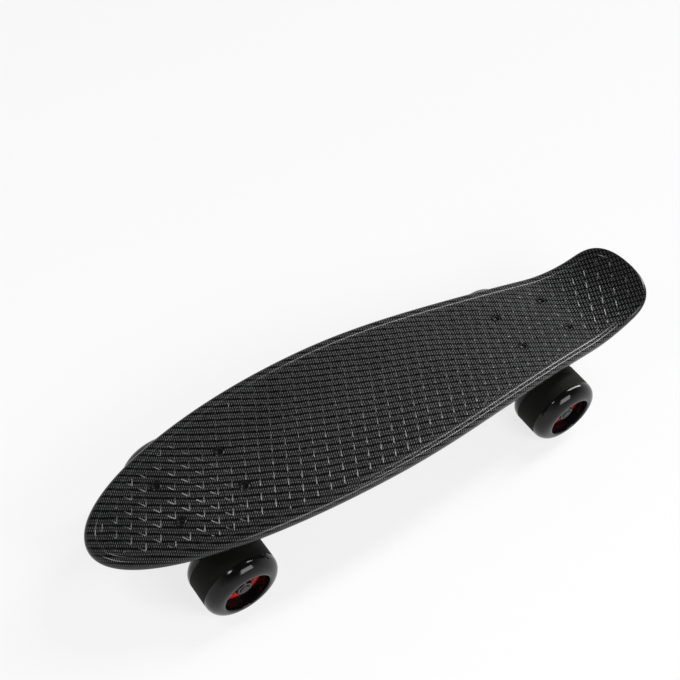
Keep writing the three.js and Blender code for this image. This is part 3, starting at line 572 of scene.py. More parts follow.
def print_rows(n, x, y):
    """A point's place across the print, counted in rows, which lean, spread and drift along the board."""
    drift = n.m("SUBTRACT", n.noise(7.0, 2.0), 0.5)
    across = n.times(y, n.m("MULTIPLY_ADD", x, ROW_SPREAD, ROW_DENSITY))
    along = n.times(x, n.m("MULTIPLY_ADD", n.m("ABSOLUTE", x), ROW_CURL, ROW_LEAN))
    return n.m("MULTIPLY_ADD", drift, ROW_DRIFT, n.m("ADD", across, along))


def print_ticks(n, x, y, half_rows):
    """A point's place along the print, counted in slanted ticks, half a tick on in each next half row."""
    drift = n.m("SUBTRACT", n.noise(9.0, 1.0), 0.5)
    closer = n.m("MULTIPLY_ADD", x, TICK_CLOSER, 1.0)
    ticks = n.m("MULTIPLY_ADD", n.times(x, closer), TICK_ALONG, n.times(y, TICK_ACROSS))
    ticks = n.m("MULTIPLY_ADD", drift, TICK_DRIFT, ticks)
    return n.m("MULTIPLY_ADD", n.m("FLOOR", half_rows), 0.5, ticks)


def print_light(n, x, y, kept):
    """The print's lightness: bars in paired rows with broken gaps and cloudy, with painted sheen that
    lightens it from the nose towards the rear and painted shade that darkens it over the kick's end.
    """
    half_rows = n.times(print_rows(n, x, y), 2.0)
    pair = n.m("PINGPONG", half_rows, 1.0)
    row = n.m("PINGPONG", n.times(half_rows, 2.0), 1.0)
    tick = n.m("PINGPONG", n.times(print_ticks(n, x, y, half_rows), 2.0), 1.0)
    bar = n.span(tick, 0.02, 1.0, 0.4, 0.85)
    broken = n.span(n.noise(330.0, 2.0), 0.0, 0.5, 0.35, 0.65)
    gap = n.m("MAXIMUM", n.span(pair, 0.0, 1.0, 0.22, 0.5), n.times(broken, 0.45))
    band = n.times(n.span(row, 0.2, 1.0, 0.05, 0.5), gap)
    patch = n.span(n.noise(26.0, 3.0, 0.6), 0.6, 1.35)
    cloud = n.times(patch, n.span(n.noise(420.0, 1.0), 0.45, 1.5))
    # Painted shade: the print darkens over the kick's end.
    tail = n.span(x, 0.35, 1.0, -285.0, -215.0)
    # Painted sheen: the print grows lighter from the nose towards the rear; this also carries the print's
    # fall down the edge.
    painted_sheen_shade_and_edge_fade = n.times(n.span(x, 1.4, 0.8, -200.0, 260.0), n.times(tail, kept))
    return n.times(n.times(bar, band), n.times(painted_sheen_shade_and_edge_fade, cloud))


def woven_film():
    """A dark film printed with rows of fine light ticks, and bare plastic where it ends."""
    n = Nodes("woven_film")
    printed = n.add("Attribute", attribute_name="print_place").outputs["Vector"]
    bare = n.add("Attribute", attribute_name="bare").outputs["Fac"]
    # The print's light carries painted sheen and painted shade along the board.
    light = n.times(print_light(n, *n.parts(printed)), n.m("SUBTRACT", 1.0, bare))
    ground = n.ramp(n.noise(60.0, 4.0), [(0.25, (0.0015, 0.0015, 0.0017)), (0.8, (0.004, 0.0041, 0.0044))])
    lit = n.mix(light, ground, (0.105, 0.106, 0.108))
    smooth = n.ramp(n.noise(40.0, 3.0), [(0.3, (0.012, 0.0125, 0.013)), (0.8, (0.022, 0.0228, 0.024))])
    n.bump(n.noise(900.0, 2.0), 0.03, 0.0002)
    return n.set(
        Base_Color=n.mix(bare, lit, smooth),
        Roughness=n.span(n.noise(35.0, 4.0), 0.15, 0.22),
        Specular_IOR_Level=0.22,
    )


def rubbed_tread():
    """Soft wheel urethane with a ground, olive-black tread."""
    n = Nodes("tyre_tread")
    cloud = n.noise(45.0, 3.0)
    n.bump(n.noise(1400.0, 3.0, 0.7), 0.25, 0.0002)
    return n.set(
        Base_Color=n.mix(cloud, (0.0024, 0.0025, 0.0019), (0.0052, 0.0054, 0.0041)),
        Roughness=n.span(cloud, 0.62, 0.78),
        Specular_IOR_Level=0.12,
    )


def glossy_lip():
    n = Nodes("tyre_lip")
    cloud = n.noise(70.0, 4.0)
    n.bump(n.noise(160.0, 2.0), 0.05, 0.0003)
    return n.set(
        Base_Color=n.mix(cloud, (0.002, 0.002, 0.0022), (0.004, 0.004, 0.0043)),
        Roughness=n.span(cloud, 0.08, 0.15),
        Specular_IOR_Level=0.27,
    )


def plastic(name, low, high, rough, grain=500.0, shine=0.5):
    """Moulded plastic or paint with a little colour and gloss variation, and fine grain."""
    n = Nodes(name)
    cloud = n.noise(80.0, 4.0)
    n.bump(n.noise(grain, 3.0), 0.15, 0.0002)
    return n.set(
        Base_Color=n.mix(cloud, low, high),
        Roughness=n.span(n.noise(120.0, 3.0), rough - 0.06, rough + 0.06),
        Specular_IOR_Level=shine,
    )


def metal(name, low, high, rough):
    """Plated or bare metal with fine directional scratches."""
    n = Nodes(name)
    streak = n.noise(240.0, 4.0, 0.65, stretch=(1.0, 1.0, 40.0))
    n.bump(streak, 0.12, 0.0002)
    return n.set(
        Base_Color=n.mix(n.noise(150.0, 3.0), low, high),
        Metallic=1.0,
        Roughness=n.span(streak, rough - 0.07, rough + 0.09),
    )


def urethane():
    """Amber bushing urethane that glows a little where light comes through."""
    n = Nodes("bushing_amber")
    cloud = n.noise(140.0, 3.0)
    n.bump(n.noise(700.0, 2.0), 0.08, 0.0002)
    return n.set(
        Base_Color=n.mix(cloud, (0.62, 0.27, 0.03), (0.85, 0.44, 0.07)),
        Roughness=n.span(cloud, 0.22, 0.34),
        Subsurface_Weight=0.35,
        Subsurface_Radius=(0.006, 0.003, 0.001),
        Subsurface_Scale=0.5,
    )


def sticker():
    """A blank foil sticker, a little creased."""
    n = Nodes("blank_foil")
    n.bump(n.noise(60.0, 3.0), 0.3, 0.0006)
    return n.set(
        Base_Color=n.mix(n.noise(55.0, 4.0), (0.42, 0.43, 0.44), (0.56, 0.57, 0.58)),
        Roughness=n.span(n.noise(90.0, 3.0), 0.38, 0.5),
        Metallic=0.35,
    )


film, tread, lip = woven_film(), rubbed_tread(), glossy_lip()
red = plastic("core_red", (0.28, 0.002, 0.002), (0.40, 0.006, 0.005), 0.3, shine=0.35)
casting = plastic(
    "truck_satin_black", (0.006, 0.006, 0.0063), (0.011, 0.011, 0.0115), 0.4, grain=650.0, shine=0.35,
)
cup = plastic("pivot_cup_black", (0.008, 0.008, 0.008), (0.014, 0.014, 0.014), 0.6)
oxide = plastic("bolt_black", (0.004, 0.004, 0.0042), (0.008, 0.008, 0.0084), 0.28, shine=0.3)
zinc = metal("zinc_bright", (0.62, 0.63, 0.65), (0.76, 0.77, 0.79), 0.24)
steel = metal("steel_axle", (0.02, 0.02, 0.021), (0.05, 0.05, 0.052), 0.38)
darknut = metal("nut_dark", (0.035, 0.035, 0.037), (0.07, 0.07, 0.073), 0.34)
seal = plastic("bearing_seal", (0.005, 0.005, 0.0055), (0.01, 0.01, 0.011), 0.45, shine=0.3)
race = metal("bearing_race_dark", (0.02, 0.02, 0.021), (0.04, 0.04, 0.042), 0.32)
amber, foil = urethane(), sticker()


# Places
def truck_matrix(end):
    turn = 0 if end > 0 else math.pi
    base = Matrix.Translation((AHEAD + end * PAD_HALF, 0, PAD_Z)) @ Matrix.Rotation(turn, 4, "Z")
    return base @ Matrix.Rotation(TILT, 4, "Y")


def kingpin_matrix(truck):
    return truck @ Matrix.Translation(SEAT) @ Matrix.Rotation(math.pi - LEAN, 4, "Y")


def steering_matrix(truck):
    return truck @ Matrix.Translation(RING) @ Matrix.Rotation(math.pi / 2 - STEER, 4, "Y")


def wheel_matrix(truck, side):
    at = truck @ Matrix.Translation((OUTBOARD, side * TRACK / 2, -TRUCK_HEIGHT))
    return at @ Matrix.Rotation(-TILT, 4, "Y") @ Matrix.Rotation(-side * math.pi / 2, 4, "X")


# Deck
def rim_section():
    """(inset, drop) down the rim, from the top round's inner end to the lower round's."""
    quarter = np.linspace(0, math.pi / 2, 9)
    section = [(TOP_ROUND * (1 - math.sin(a)), TOP_ROUND * (1 - math.cos(a))) for a in quarter]
    section += [(LOW_ROUND * (1 - math.cos(a)), THICK - LOW_ROUND * (1 - math.sin(a))) for a in quarter]
    return section


def bead_section():
    """(inset, drop) from the rim band over the raised bead into the sunk field."""
    foot = FIELD_INSET - BEAD_FOOT
    start = foot - BEAD_WIDTH
    run = BEAD_RISE / BEAD_SLOPE
    crest = [(start + run, -BEAD_RISE), (foot - BEAD_FALL - run, -BEAD_RISE)]
    fall = [(foot - BEAD_FALL, 0.0), (foot, FIELD_SINK), (FIELD_INSET, FIELD_SINK)]
    return rounded([(BEAD_INSET, 0.0), (start, 0.0), *crest, *fall], 0.15, 2)


def laid(places, lift):
    """Places on the deck's upper side, lifted above it."""
    return [(x, y, float(top_z(x)) + lift) for x, y in places]


def bolt_circles(radius, height, steps=24):
    """For each bolt, its circle in the row frame, at a height over the truck's seat on the deck."""
    turns = [FULL * k / steps for k in range(steps)]
    circles = []
    for end in (1, -1):
        truck = truck_matrix(end)
        for bx, by in BOLTS:
            ring = [Vector((bx + radius * math.cos(a), by + radius * math.sin(a), height)) for a in turns]
            circles.append([truck @ p for p in ring])
    return circles


def mouths_flat(circles):
    return [np.array([(p.x, p.y) for p in circle]) for circle in circles]


def meshed(boundary, holes, extra, height):
    """Triangles over the area inside the boundary and outside the holes, through the extra points."""
    loops = [np.asarray(loop)[:, :2] for loop in (boundary, *holes)]
    points = np.vstack([*loops, extra])
    edges, at = [], 0
    for loop in loops:
        edges += [(at + k, at + (k + 1) % len(loop)) for k in range(len(loop))]
        at += len(loop)
    verts, _, faces, *_ = delaunay_2d_cdt([Vector(p) for p in points], edges, [], 0, 1e-7)
    verts = np.array([tuple(v) for v in verts])
    centres = np.array([verts[list(f)].mean(0) for f in faces])
    keep = signed(centres, loops[0]) > 0
    for loop in loops[1:]:
        near = lengths(centres - loop.mean(0)) < 2 * BOLT_MOUTH_R
        keep[near] &= signed(centres[near], loop) < 0
    z = height(verts)
    return [(x, y, h) for (x, y), h in zip(verts, z)], [f for f, k in zip(faces, keep) if k]


def spaced(step, boundary, clear, avoid=()):
    """A staggered grid of points well inside the boundary and clear of the loops in avoid."""
    rows = np.arange(-LENGTH / 2, LENGTH / 2, step)
    across = np.arange(-WIDTH / 2, WIDTH / 2, step)
    grid = np.array([(x, y + (i % 2) * step / 2) for i, x in enumerate(rows) for y in across])
    grid = grid[signed(grid, boundary) > clear]
    for loop in avoid:
        grid = grid[np.abs(signed(grid, loop)) > clear]
    return grid


def pan():
    """The middle panel, whose long sides keep an even band inside the deck's edge."""
    front, rear = AHEAD + PAN_HALF, AHEAD - PAN_HALF
    xs = np.linspace(front - PAN_FRONT_CORNER, rear + PAN_REAR_CORNER, 60)
    side = [(x, half_width(x) - RIM_BAND) for x in xs]
    back = [(rear, PAN_END_HALF), (rear - PAN_REAR_BOW, PAN_END_HALF / 2), (rear - PAN_REAR_BOW, 0)]
    upper = [(front, 0), (front, PAN_END_HALF), *side, *back]
    return resampled(upper + [(x, -y) for x, y in upper[::-1]], 2.5), PAN_DEPTH, PAN_SLOPE


def spear(sign):
    """One of the two long leaf-shaped grooves in the panel."""
    along = np.linspace(-1, 1, 90)
    swell = 1 - along**2
    centre = SPEAR_SPREAD - SPEAR_PINCH * swell
    half = (SPEAR_TIP + SPEAR_SWELL * swell) / 2
    x = AHEAD + PAN_HALF * along
    outer = np.stack([x, sign * (centre + half)], 1)
    inner = np.stack([x, sign * (centre - half)], 1)
    return resampled(np.vstack([outer, inner[::-1]]), 2.0), SPEAR_DEPTH, SPEAR_SLOPE


def crescent():
    turn = np.linspace(0, math.pi, 60)
    outer = [(CRESCENT_AHEAD + CRESCENT_OUTER * math.sin(a), -CRESCENT_HALF * math.cos(a)) for a in turn]
    inner = [(CRESCENT_AHEAD + CRESCENT_INNER * math.sin(a) ** 2, -CRESCENT_HALF * math.cos(a)) for a in turn]
    return resampled(outer + inner[::-1], 1.6), CRESCENT_DEPTH, CRESCENT_SLOPE


def slot(a, b, width):
    """A straight groove with its ends rounded."""
    a, b = np.array(a, float), np.array(b, float)
    way = (b - a) / np.linalg.norm(b - a)
    off = np.array([-way[1], way[0]]) * width / 2
    box = [b + off, b - off, a - off, a + off]
    return resampled(closed_round(box, width / 4), 1.0), SLOT_DEPTH, SLOT_SLOPE


def closed_round(polygon, radius, steps=4):
    """A closed polygon with all its corners rounded."""
    start = (np.array(polygon[0]) + np.array(polygon[-1])) / 2
    return rounded([start, *polygon, start], radius, steps, on_axis=False)[:-1]


def recesses():
    """The underside's recesses: (outline, depth, slope width)."""
    found = [pan(), spear(1), spear(-1), crescent()]
    half = TAIL_SLOT_WIDTH / 2
    cross_x = TAIL_LEG_END[0] + half
    paired = [
        (TAIL_LEG_START, TAIL_LEG_END, TAIL_SLOT_WIDTH),
        (SIDE_SLOT_START, SIDE_SLOT_END, SIDE_SLOT_WIDTH),
    ]
    for sign in (1, -1):
        for start, end, width in paired:
            found.append(slot((start[0], sign * start[1]), (end[0], sign * end[1]), width))
    reach = TAIL_LEG_END[1] + half
    found.append(slot((cross_x, reach), (cross_x, -reach), TAIL_SLOT_WIDTH))
    return found


def truck_seats():
    """The raised seats of the trucks: (outline, truck end)."""
    seats = []
    for end, (inner, outer) in ((1, FRONT_MOUNT), (-1, REAR_MOUNT)):
        truck = truck_matrix(end)
        away = MOUNT_HALF_LENGTH
        corners = [(-away, -inner), (away, -outer), (away, outer), (-away, inner)]
        places = [truck @ Vector((x, y, 0)) for x, y in corners]
        seats.append((resampled([(p.x, p.y) for p in places], 1.6), end))
    return seats


def offset_points(outline, slope, shares):
    """Points beside the outline, inwards by shares of the slope, where nothing else is nearer."""
    side = leftward(outline)
    if signed(outline[:1] + side[:1] * 0.05, outline)[0] < 0:
        side = -side
    rows = [outline]
    for share in shares:
        moved = outline + side * slope * share
        rows.append(moved[np.abs(np.abs(signed(moved, outline)) - slope * abs(share)) < 0.05 * slope])
    return np.vstack(rows)


def underside(points, cuts, seats):
    """Height of the underside, with its recesses and raised truck seats."""
    z = top_z(points[:, 0]) - THICK
    depth = np.zeros(len(points))
    for outline, deep, slope in cuts:
        share = np.clip(signed(points, outline) / slope, 0, 1)
        depth = np.maximum(depth, deep * eased(share))
    z = z + depth
    for outline, end in seats:
        level = PAD_Z - end * (points[:, 0] - AHEAD - end * PAD_HALF) * math.tan(TILT)
        share = np.clip(signed(points, outline) / MOUNT_SLOPE, 0, 1)
        z = np.where(share > 0, z + (level - z) * eased(share), z)
    return z


def lower_face(cuts):
    lower = OUTLINE + INWARD * LOW_ROUND
    seats = truck_seats()
    feet = bolt_circles(BOLT_HOLE_R, 0.0)
    extra = [offset_points(o, s, (0.12, 0.37, 0.63, 0.88, 1.0, -0.15)) for o, _, s in cuts]
    extra += [offset_points(o, MOUNT_SLOPE, (0.35, 0.75, 1.0, -0.3)) for o, _ in seats]
    extra = np.vstack([*extra, spaced(5.0, lower, 2.0, [o for o, _, _ in cuts])])
    extra = extra[signed(extra, lower) > 1.0]
    for foot in mouths_flat(feet):
        extra = extra[lengths(extra - foot.mean(0)) > BOLT_HOLE_R + 0.6]
    return meshed(lower, feet, extra, lambda p: underside(p, cuts, seats))


def deck_skin(cuts):
    """The deck's whole skin: rim, sunk top field, underside and bolt holes."""
    edge = [*bead_section()[::-1], *rim_section()]
    parts = [strips([laid(OUTLINE + INWARD * inset, -drop) for inset, drop in edge])]
    field = OUTLINE + INWARD * FIELD_INSET
    sunk = DECK_AT_PAD - FIELD_SINK
    mouths = bolt_circles(BOLT_MOUTH_R, sunk)
    grid = spaced(7.0, field, 2.5, mouths_flat(mouths))
    parts.append(meshed(field, mouths, grid, lambda p: top_z(p[:, 0]) - FIELD_SINK))
    parts.append(lower_face(cuts))
    levels = [(BOLT_HOLE_R, 0.0), (BOLT_HOLE_R, BOLT_HOLE_TOP)]
    levels += [(BOLT_MOUTH_R, BOLT_TOP), (BOLT_MOUTH_R, sunk)]
    rings = [bolt_circles(r, h) for r, h in levels]
    parts += [strips([ring[k] for ring in rings]) for k in range(2 * len(BOLTS))]
    return merged(parts)


def clipped(polygon, point, normal):
    """The part of a convex polygon on the normal's side of a line."""
    out = []
    for a, b in zip(polygon, polygon[1:] + polygon[:1]):
        da, db = (a - point) @ normal, (b - point) @ normal
        if da >= 0:
            out.append(a)
        if da * db < 0:
            out.append(a + (b - a) * da / (da - db))
    return out


def pad_shapes():
    """Outlines of the rhombic grip pads over the standing area, cropped along its border."""
    a, b = (np.array([math.cos(t), math.sin(t)]) for t in (math.pi / 3, 2 * math.pi / 3))
    start = np.array([PAD_START[0] + AHEAD, PAD_START[1]]) - (a + b) * PAD_SIDE / 2
    bolts = np.array([c.mean(0) for c in mouths_flat(bolt_circles(BOLT_MOUTH_R, BOLT_TOP))])
    limit = FIELD_INSET + PAD_MARGIN
    steps = range(-PAD_ROWS, PAD_ROWS + 1)
    middles = np.array([start + (a * i + b * j) * PAD_PITCH for i in steps for j in steps])
    middles = middles[(np.abs(middles[:, 0]) < LENGTH / 2) & (np.abs(middles[:, 1]) < WIDTH / 2)]
    shapes = []
    for middle, inside in zip(middles, signed(middles, OUTLINE)):
        to_bolt = lengths(bolts - middle).min()
        if inside < limit - PAD_STRAY or to_bolt < BOLT_MOUTH_R + PAD_BOLT_CLEAR:
            continue
        corners = ((1, 1), (-1, 1), (-1, -1), (1, -1))
        shape = [middle + (a * i + b * j) * PAD_SIDE / 2 for i, j in corners]
        if inside < limit + PAD_SIDE:
            k = lengths(OUTLINE - middle).argmin()
            shape = clipped(shape, OUTLINE[k] + INWARD[k] * limit, INWARD[k])
        ring = np.array(shape)
        if len(shape) > 2 and 0.5 * abs(np.cross(ring, np.roll(ring, -1, 0)).sum()) > LEAST_PAD:
            shapes.append(shape)
    return shapes


def grip_pads():
    """Low pads with walls, chamfered upper edges and rounded corners."""
    slope = PAD_CHAMFER * math.tan(PAD_CHAMFER_ANGLE)
    levels = [(0.0, -FIELD_SINK - PAD_ROOT), (0.0, -slope), (PAD_CHAMFER, 0.0)]
    pads = []
    for shape in pad_shapes():
        ring = np.array(closed_round(shape, PAD_CORNER, 3))
        centre = ring.mean(0)
        reach = lengths(ring - centre).min()
        rings = [laid(centre + (ring - centre) * (1 - inset / reach), lift) for inset, lift in levels]
        pads.append(capped(rings))
    return merged(pads)


def lay_print(thing):
    """Stores where each point lies on the flat print, with its length unrolled and its edge folded out.

    The third number is the share of the print's lightness left, which falls down the edge.
    """
    points = np.array([v.co for v in thing.data.vertices]) / MM
    stations = np.linspace(-LENGTH / 2, LENGTH / 2, 561)
    heights = top_z(stations)
    run = np.r_[0, np.cumsum(np.hypot(np.diff(stations), np.diff(heights)))]
    run -= np.interp(AHEAD, stations, run)
    drop = top_z(points[:, 0]) - points[:, 2]
    side = THICK - LOW_ROUND
    folded = np.where(drop < side, drop, np.clip(THICK - drop, 0, LOW_ROUND) / LOW_ROUND * side)
    outer = signed(points[:, :2], OUTLINE) < TOP_ROUND
    nearest = np.array([((OUTLINE - p) ** 2).sum(1).argmin() for p in points[:, :2]])
    flat = np.zeros((len(points), 3), np.float32)
    flat[:, 0] = np.interp(points[:, 0], stations, run)
    flat[:, 1] = points[:, 1]
    flat[:, :2] -= INWARD[nearest] * (folded * outer)[:, None]
    flat[:, 2] = 1 - (1 - PRINT_LEFT) * eased(np.clip((drop - TOP_ROUND / 2) / TOP_ROUND, 0, 1))
    layer = thing.data.attributes.new("print_place", "FLOAT_VECTOR", "POINT")
    layer.data.foreach_set("vector", flat.ravel())
    return points


def add_deck():
    cuts = recesses()
    verts, faces = deck_skin(cuts)
    deck = made("deck_skin", verts, faces, film, sharp=38, weld=0.004)
    points = lay_print(deck)
    below = points[:, 2] < top_z(points[:, 0]) - THICK / 2
    worn = np.zeros(len(points))
    for outline, _, slope in cuts[1:3]:
        worn = np.maximum(worn, np.clip(signed(points[:, :2], outline) / slope - 0.3, 0, 1))
    bare = deck.data.attributes.new("bare", "FLOAT", "POINT")
    bare.data.foreach_set("value", (worn * below).astype(np.float32))
    dress(deck, "board", "deck")
    verts, faces = grip_pads()
    pads = made("deck_grip_pads", verts, faces, film, sharp=15)
    lay_print(pads)
    dress(pads, "board", None)


def add_label():
    """A blank sticker on the underside's middle panel."""
    sx, sy = LABEL_LENGTH / 2, LABEL_WIDTH / 2
    ring = np.array(closed_round([(sx, -sy), (sx, sy), (-sx, sy), (-sx, -sy)], LABEL_CORNER))
    rings = []
    for scale, drop in [(1.0, 0.0)] + [(share, LABEL_THICK) for share in (0.998, 0.66, 0.33, 0.02)]:
        rings.append(laid(ring * scale + (LABEL_AHEAD, LABEL_ASIDE), PAN_DEPTH - THICK - drop))
    verts, faces = capped(rings)
    dress(made("blank_label", verts, faces, foil, sharp=60), "board", None)


# Trucks
def cast(node, body, voxel, passes):
    """A copy of a CAD casting with its corners softened as a mould leaves them."""
    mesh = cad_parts[node].data.copy()
    mesh.materials.clear()
    thing = placed(node + "_cast", mesh)
    remesh = thing.modifiers.new("remesh", "REMESH")
    remesh.mode, remesh.voxel_size = "VOXEL", voxel * MM
    soft = thing.modifiers.new("soft", "SMOOTH")
    soft.factor, soft.iterations = 0.5, passes
    bpy.context.view_layer.update()
    done = bpy.data.meshes.new_from_object(thing.evaluated_get(bpy.context.evaluated_depsgraph_get()))
    thing.modifiers.clear()
    thing.data = done
    done.name = node + "_cast"
    done.materials.clear()
    done.materials.append(casting)
    done.shade_smooth()
    dress(thing, body, node)


def turned(name, profile, matrix, material, steps=64, closed=True, corner=0.25):
    """A turned piece with softened corners; a closed profile is a ring, and an open one ends on the axis."""
    ring = rounded(profile + [profile[0]], corner)[:-1] if closed else rounded(profile, corner)
    verts, faces = lathe(ring, matrix, steps, closed)
    return made(name, verts, faces, material, sharp=40)


def hex_nut(name, matrix, material, flats, bore, low, height, washer=0.0, collar=0.0, steps=96):
    """A hexagon nut with chamfered corners, an optional round step under it and a collar on it."""
    base, top, end = low + washer, low + washer + height, low + washer + height + collar
    half, corner = flats / 2, flats / math.sqrt(3)

    def ring(z, radius=0.0, limit=corner * 0.985):
        points = []
        for k in range(steps):
            t = FULL * k / steps
            inner = math.cos((t + math.pi / 6) % (math.pi / 3) - math.pi / 6)
            r = radius or min(half / inner, limit)
            points.append(matrix @ Vector((r * math.cos(t), r * math.sin(t), z)))
        return points

    rings = [ring(low + NUT_MOUTH, bore), ring(low, bore + NUT_MOUTH)]
    if washer:
        rings += [ring(low, SPACER_R), ring(base, SPACER_R)]
    rings += [ring(base, limit=half + NUT_FOOT), ring(base + NUT_EDGE), ring(top - 2 * NUT_EDGE)]
    rings += [ring(top - down, limit=half + reach) for down, reach in NUT_CHAMFER]
    crown = half - NUT_CROWN
    if collar:
        crown = COLLAR_R - NUT_EDGE
        rings += [ring(top, COLLAR_R), ring(end - NUT_EDGE, COLLAR_R)]
    rings += [ring(end, crown), ring(end, bore + NUT_EDGE), ring(end - NUT_EDGE, bore), rings[0]]
    verts, faces = strips(rings)
    return made(name, verts, faces, material, sharp=24, weld=0.001)


def add_pivot_cup(name, steer):
    tip = STEER_RUN + PIVOT_REACH
    mouth, back = tip - CUP_DEPTH, tip + CUP_BACK
    outer = PIVOT_REACH + CUP_WALL
    inside = [(0, tip), (PIVOT_REACH / 2, tip), (PIVOT_REACH, tip - CUP_SHOULDER), (PIVOT_REACH, mouth)]
    outside = [(outer, mouth), (outer, back), (0, back)]
    ring = turned(name + "_cup_ring", inside + outside, steer, cup, closed=False)
    dress(ring, "board", name + "_pivot_cup")


def add_kingpin(name, pin):
    low, high = PIN_END - THREAD_RUN, PIN_END
    root = KINGPIN_R - THREAD_DEPTH
    threads = []
    for k in range(THREAD_COUNT):
        z = low + k * THREAD_PITCH
        threads += [(KINGPIN_R, z), (root, z + THREAD_PITCH / 2)]
    head = [(0, HEAD_TOP), (HEAD_R - HEAD_CHAMFER, HEAD_TOP), (HEAD_R, HEAD_TOP + HEAD_CHAMFER)]
    head += [(HEAD_R, HEAD_FOOT), (KINGPIN_R, HEAD_FOOT)]
    end = [(KINGPIN_TIP_R + 0.3, high - 0.4), (KINGPIN_TIP_R, high), (0, high)]
    profile = head + threads + end
    bolt = turned(name + "_kingpin_bolt", profile, pin, zinc, closed=False, corner=0.12, steps=48)
    dress(bolt, "board", name + "_kingpin")
    locknut = hex_nut(
        name + "_kingpin_locknut", pin, zinc, KINGPIN_NUT_FLATS, BORE_R, NUT_START, KINGPIN_NUT_HEIGHT,
        collar=COLLAR_HEIGHT,
    )
    dress(locknut, "board", name + "_kingpin_nut")
    inset, rise = WASHER_BEVEL
    edge = BUSHING_R - inset
    for side, near in (("boardside", BOARD_WASHER), ("roadside", ROAD_WASHER)):
        far = near + WASHER_THICK
        dish = [(BORE_R, near), (edge, near), (BUSHING_R, near + rise)]
        dish += [(BUSHING_R, far - rise), (edge, far), (BORE_R, far)]
        washer = turned(f"{name}_{side}_washer_ring", dish, pin, zinc)
        dress(washer, "board", f"{name}_{side}_washer")


def add_bushing(name, side, pin, start, tall, wide, narrow):
    """A soft urethane ring on the kingpin, from the board's side to the hanger's."""
    end = start + tall
    outer = [(wide - inset, start + rise) for inset, rise in BUSHING_EDGE]
    for t in (0.25, 0.5, 0.75):
        waist = BUSHING_WAIST * math.sin(math.pi * t)
        outer.append((wide + (narrow - wide) * t - waist, start + tall * (0.2 + 0.6 * t)))
    outer += [(narrow - inset, end - rise) for inset, rise in BUSHING_EDGE[::-1]]
    profile = [(BORE_R, start), *outer, (BORE_R, end)]
    ring = turned(f"{name}_{side}_bushing_soft", profile, pin, amber, corner=0.4)
    dress(ring, None, f"{name}_{side}_bushing")
    ends = [tuple(pin @ Vector((0, 0, at)) * MM) for at in (start, end)]
    if side == "roadside":
        ends.reverse()
    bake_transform(ring)


def add_axle(name, truck):
    axle = truck @ Matrix.Translation((OUTBOARD, 0, -TRUCK_HEIGHT)) @ Matrix.Rotation(math.pi / 2, 4, "X")
    right = [(AXLE_R, 0), (AXLE_R, SPACER_NEAR), (SPACER_R, SPACER_NEAR), (SPACER_R, SPACER_FAR)]
    right += [(AXLE_R, SPACER_FAR),(AXLE_R, AXLE_REACH - 0.5), (AXLE_R - 0.5, AXLE_REACH), (0, AXLE_REACH)]
    left = [(r, -z) for r, z in right[::-1]]
    rod = turned(name + "_axle_rod", left[:-1] + right, axle, steel, closed=False, corner=0.15, steps=40)
    dress(rod, name + "_truck", name + "_axle")


def add_bolts(name, truck):
    top, end = BOLT_TOP, BOLT_END
    shank = [(0, end), (BOLT_R - BOLT_CHAMFER, end), (BOLT_R, end + BOLT_CHAMFER)]
    shank.append((BOLT_R, top - BOLT_HEAD_TALL))
    head = [(BOLT_HEAD_R, top - BOLT_HEAD_EDGE), (BOLT_HEAD_R - BOLT_HEAD_BEVEL, top)]
    socket = [(SOCKET_R, top), (SOCKET_FLOOR_R, top - SOCKET_WALL), (0, top - SOCKET_DEPTH)]
    profile = shank + head + socket
    for k, (bx, by) in enumerate(BOLTS, 1):
        at = truck @ Matrix.Translation((bx, by, 0))
        screw = turned(f"{name}_screw_{k}", profile, at, oxide, closed=False, corner=0.1, steps=32)
        dress(screw, "board", f"{name}_bolt_{k}")
        under = at @ Matrix.Rotation(math.pi, 4, "X")
        screw_nut = hex_nut(
            f"{name}_screw_nut_{k}", under, oxide, BOLT_NUT_FLATS, BOLT_HOLE_R, BOLT_NUT_LOW, BOLT_NUT_HEIGHT,
        )
        dress(screw_nut, "board", f"{name}_bolt_nut_{k}")


def add_truck(name, end):
    truck = truck_matrix(end)
    pin = kingpin_matrix(truck)
    cast(name + "_baseplate", "board", voxel=0.55, passes=5)
    cast(name + "_hanger", name + "_truck", voxel=0.5, passes=2)
    add_pivot_cup(name, steering_matrix(truck))
    add_kingpin(name, pin)
    add_bushing(name, "boardside", pin, BOARD_BUSHING, BOARD_BUSHING_TALL, BUSHING_R, BUSHING_R)
    add_bushing(name, "roadside", pin, ROAD_BUSHING, ROAD_BUSHING_TALL, BUSHING_R, BUSHING_TIP_R)
    add_axle(name, truck)
    add_bolts(name, truck)


# Wheels
def tyre_profile():
    """The tyre from its tread over the rounded lip, down the recess wall to the seat of the core."""
    half = WHEEL_W / 2
    side = [(WHEEL_R, 0.0), (WHEEL_R, half - LIP_R - TREAD_EDGE)]
    for angle in np.linspace(0, math.pi / 2, 17)[1:]:
        side.append((WHEEL_R - LIP_R * (1 - math.cos(angle)), half - LIP_R * (1 - math.sin(angle))))
    mouth = WHEEL_FULL_R - LIP_R - MOUTH_ROUND
    side += [(mouth + out, half - down) for out, down in MOUTH_ARC]
    side += [(mouth, half - MOUTH_ROUND), (CORE_R + GAP, RECESS_FLOOR)]
    return [(r, -z) for r, z in side[:0:-1]] + side


def core_profile():
    """The core from its middle over the raised rim and the face, down the bearing's seat to the flange."""
    face = RECESS_FLOOR + CORE_CHAMFER
    rim = face + CORE_RIM_RISE
    low = BEARING_LOW - GAP
    seat = BEARING_R + GAP
    half = [(CORE_R, 0), (CORE_R, rim - CORE_RIM_EDGE), (CORE_R - CORE_RIM_EDGE, rim)]
    half += [(CORE_R - CORE_RIM_FLAT, rim), (CORE_R - CORE_RIM_FOOT, face)]
    half += [(seat, face), (seat, low), (FLANGE_R, low)]
    return [(r, -z) for r, z in half[:0:-1]] + half


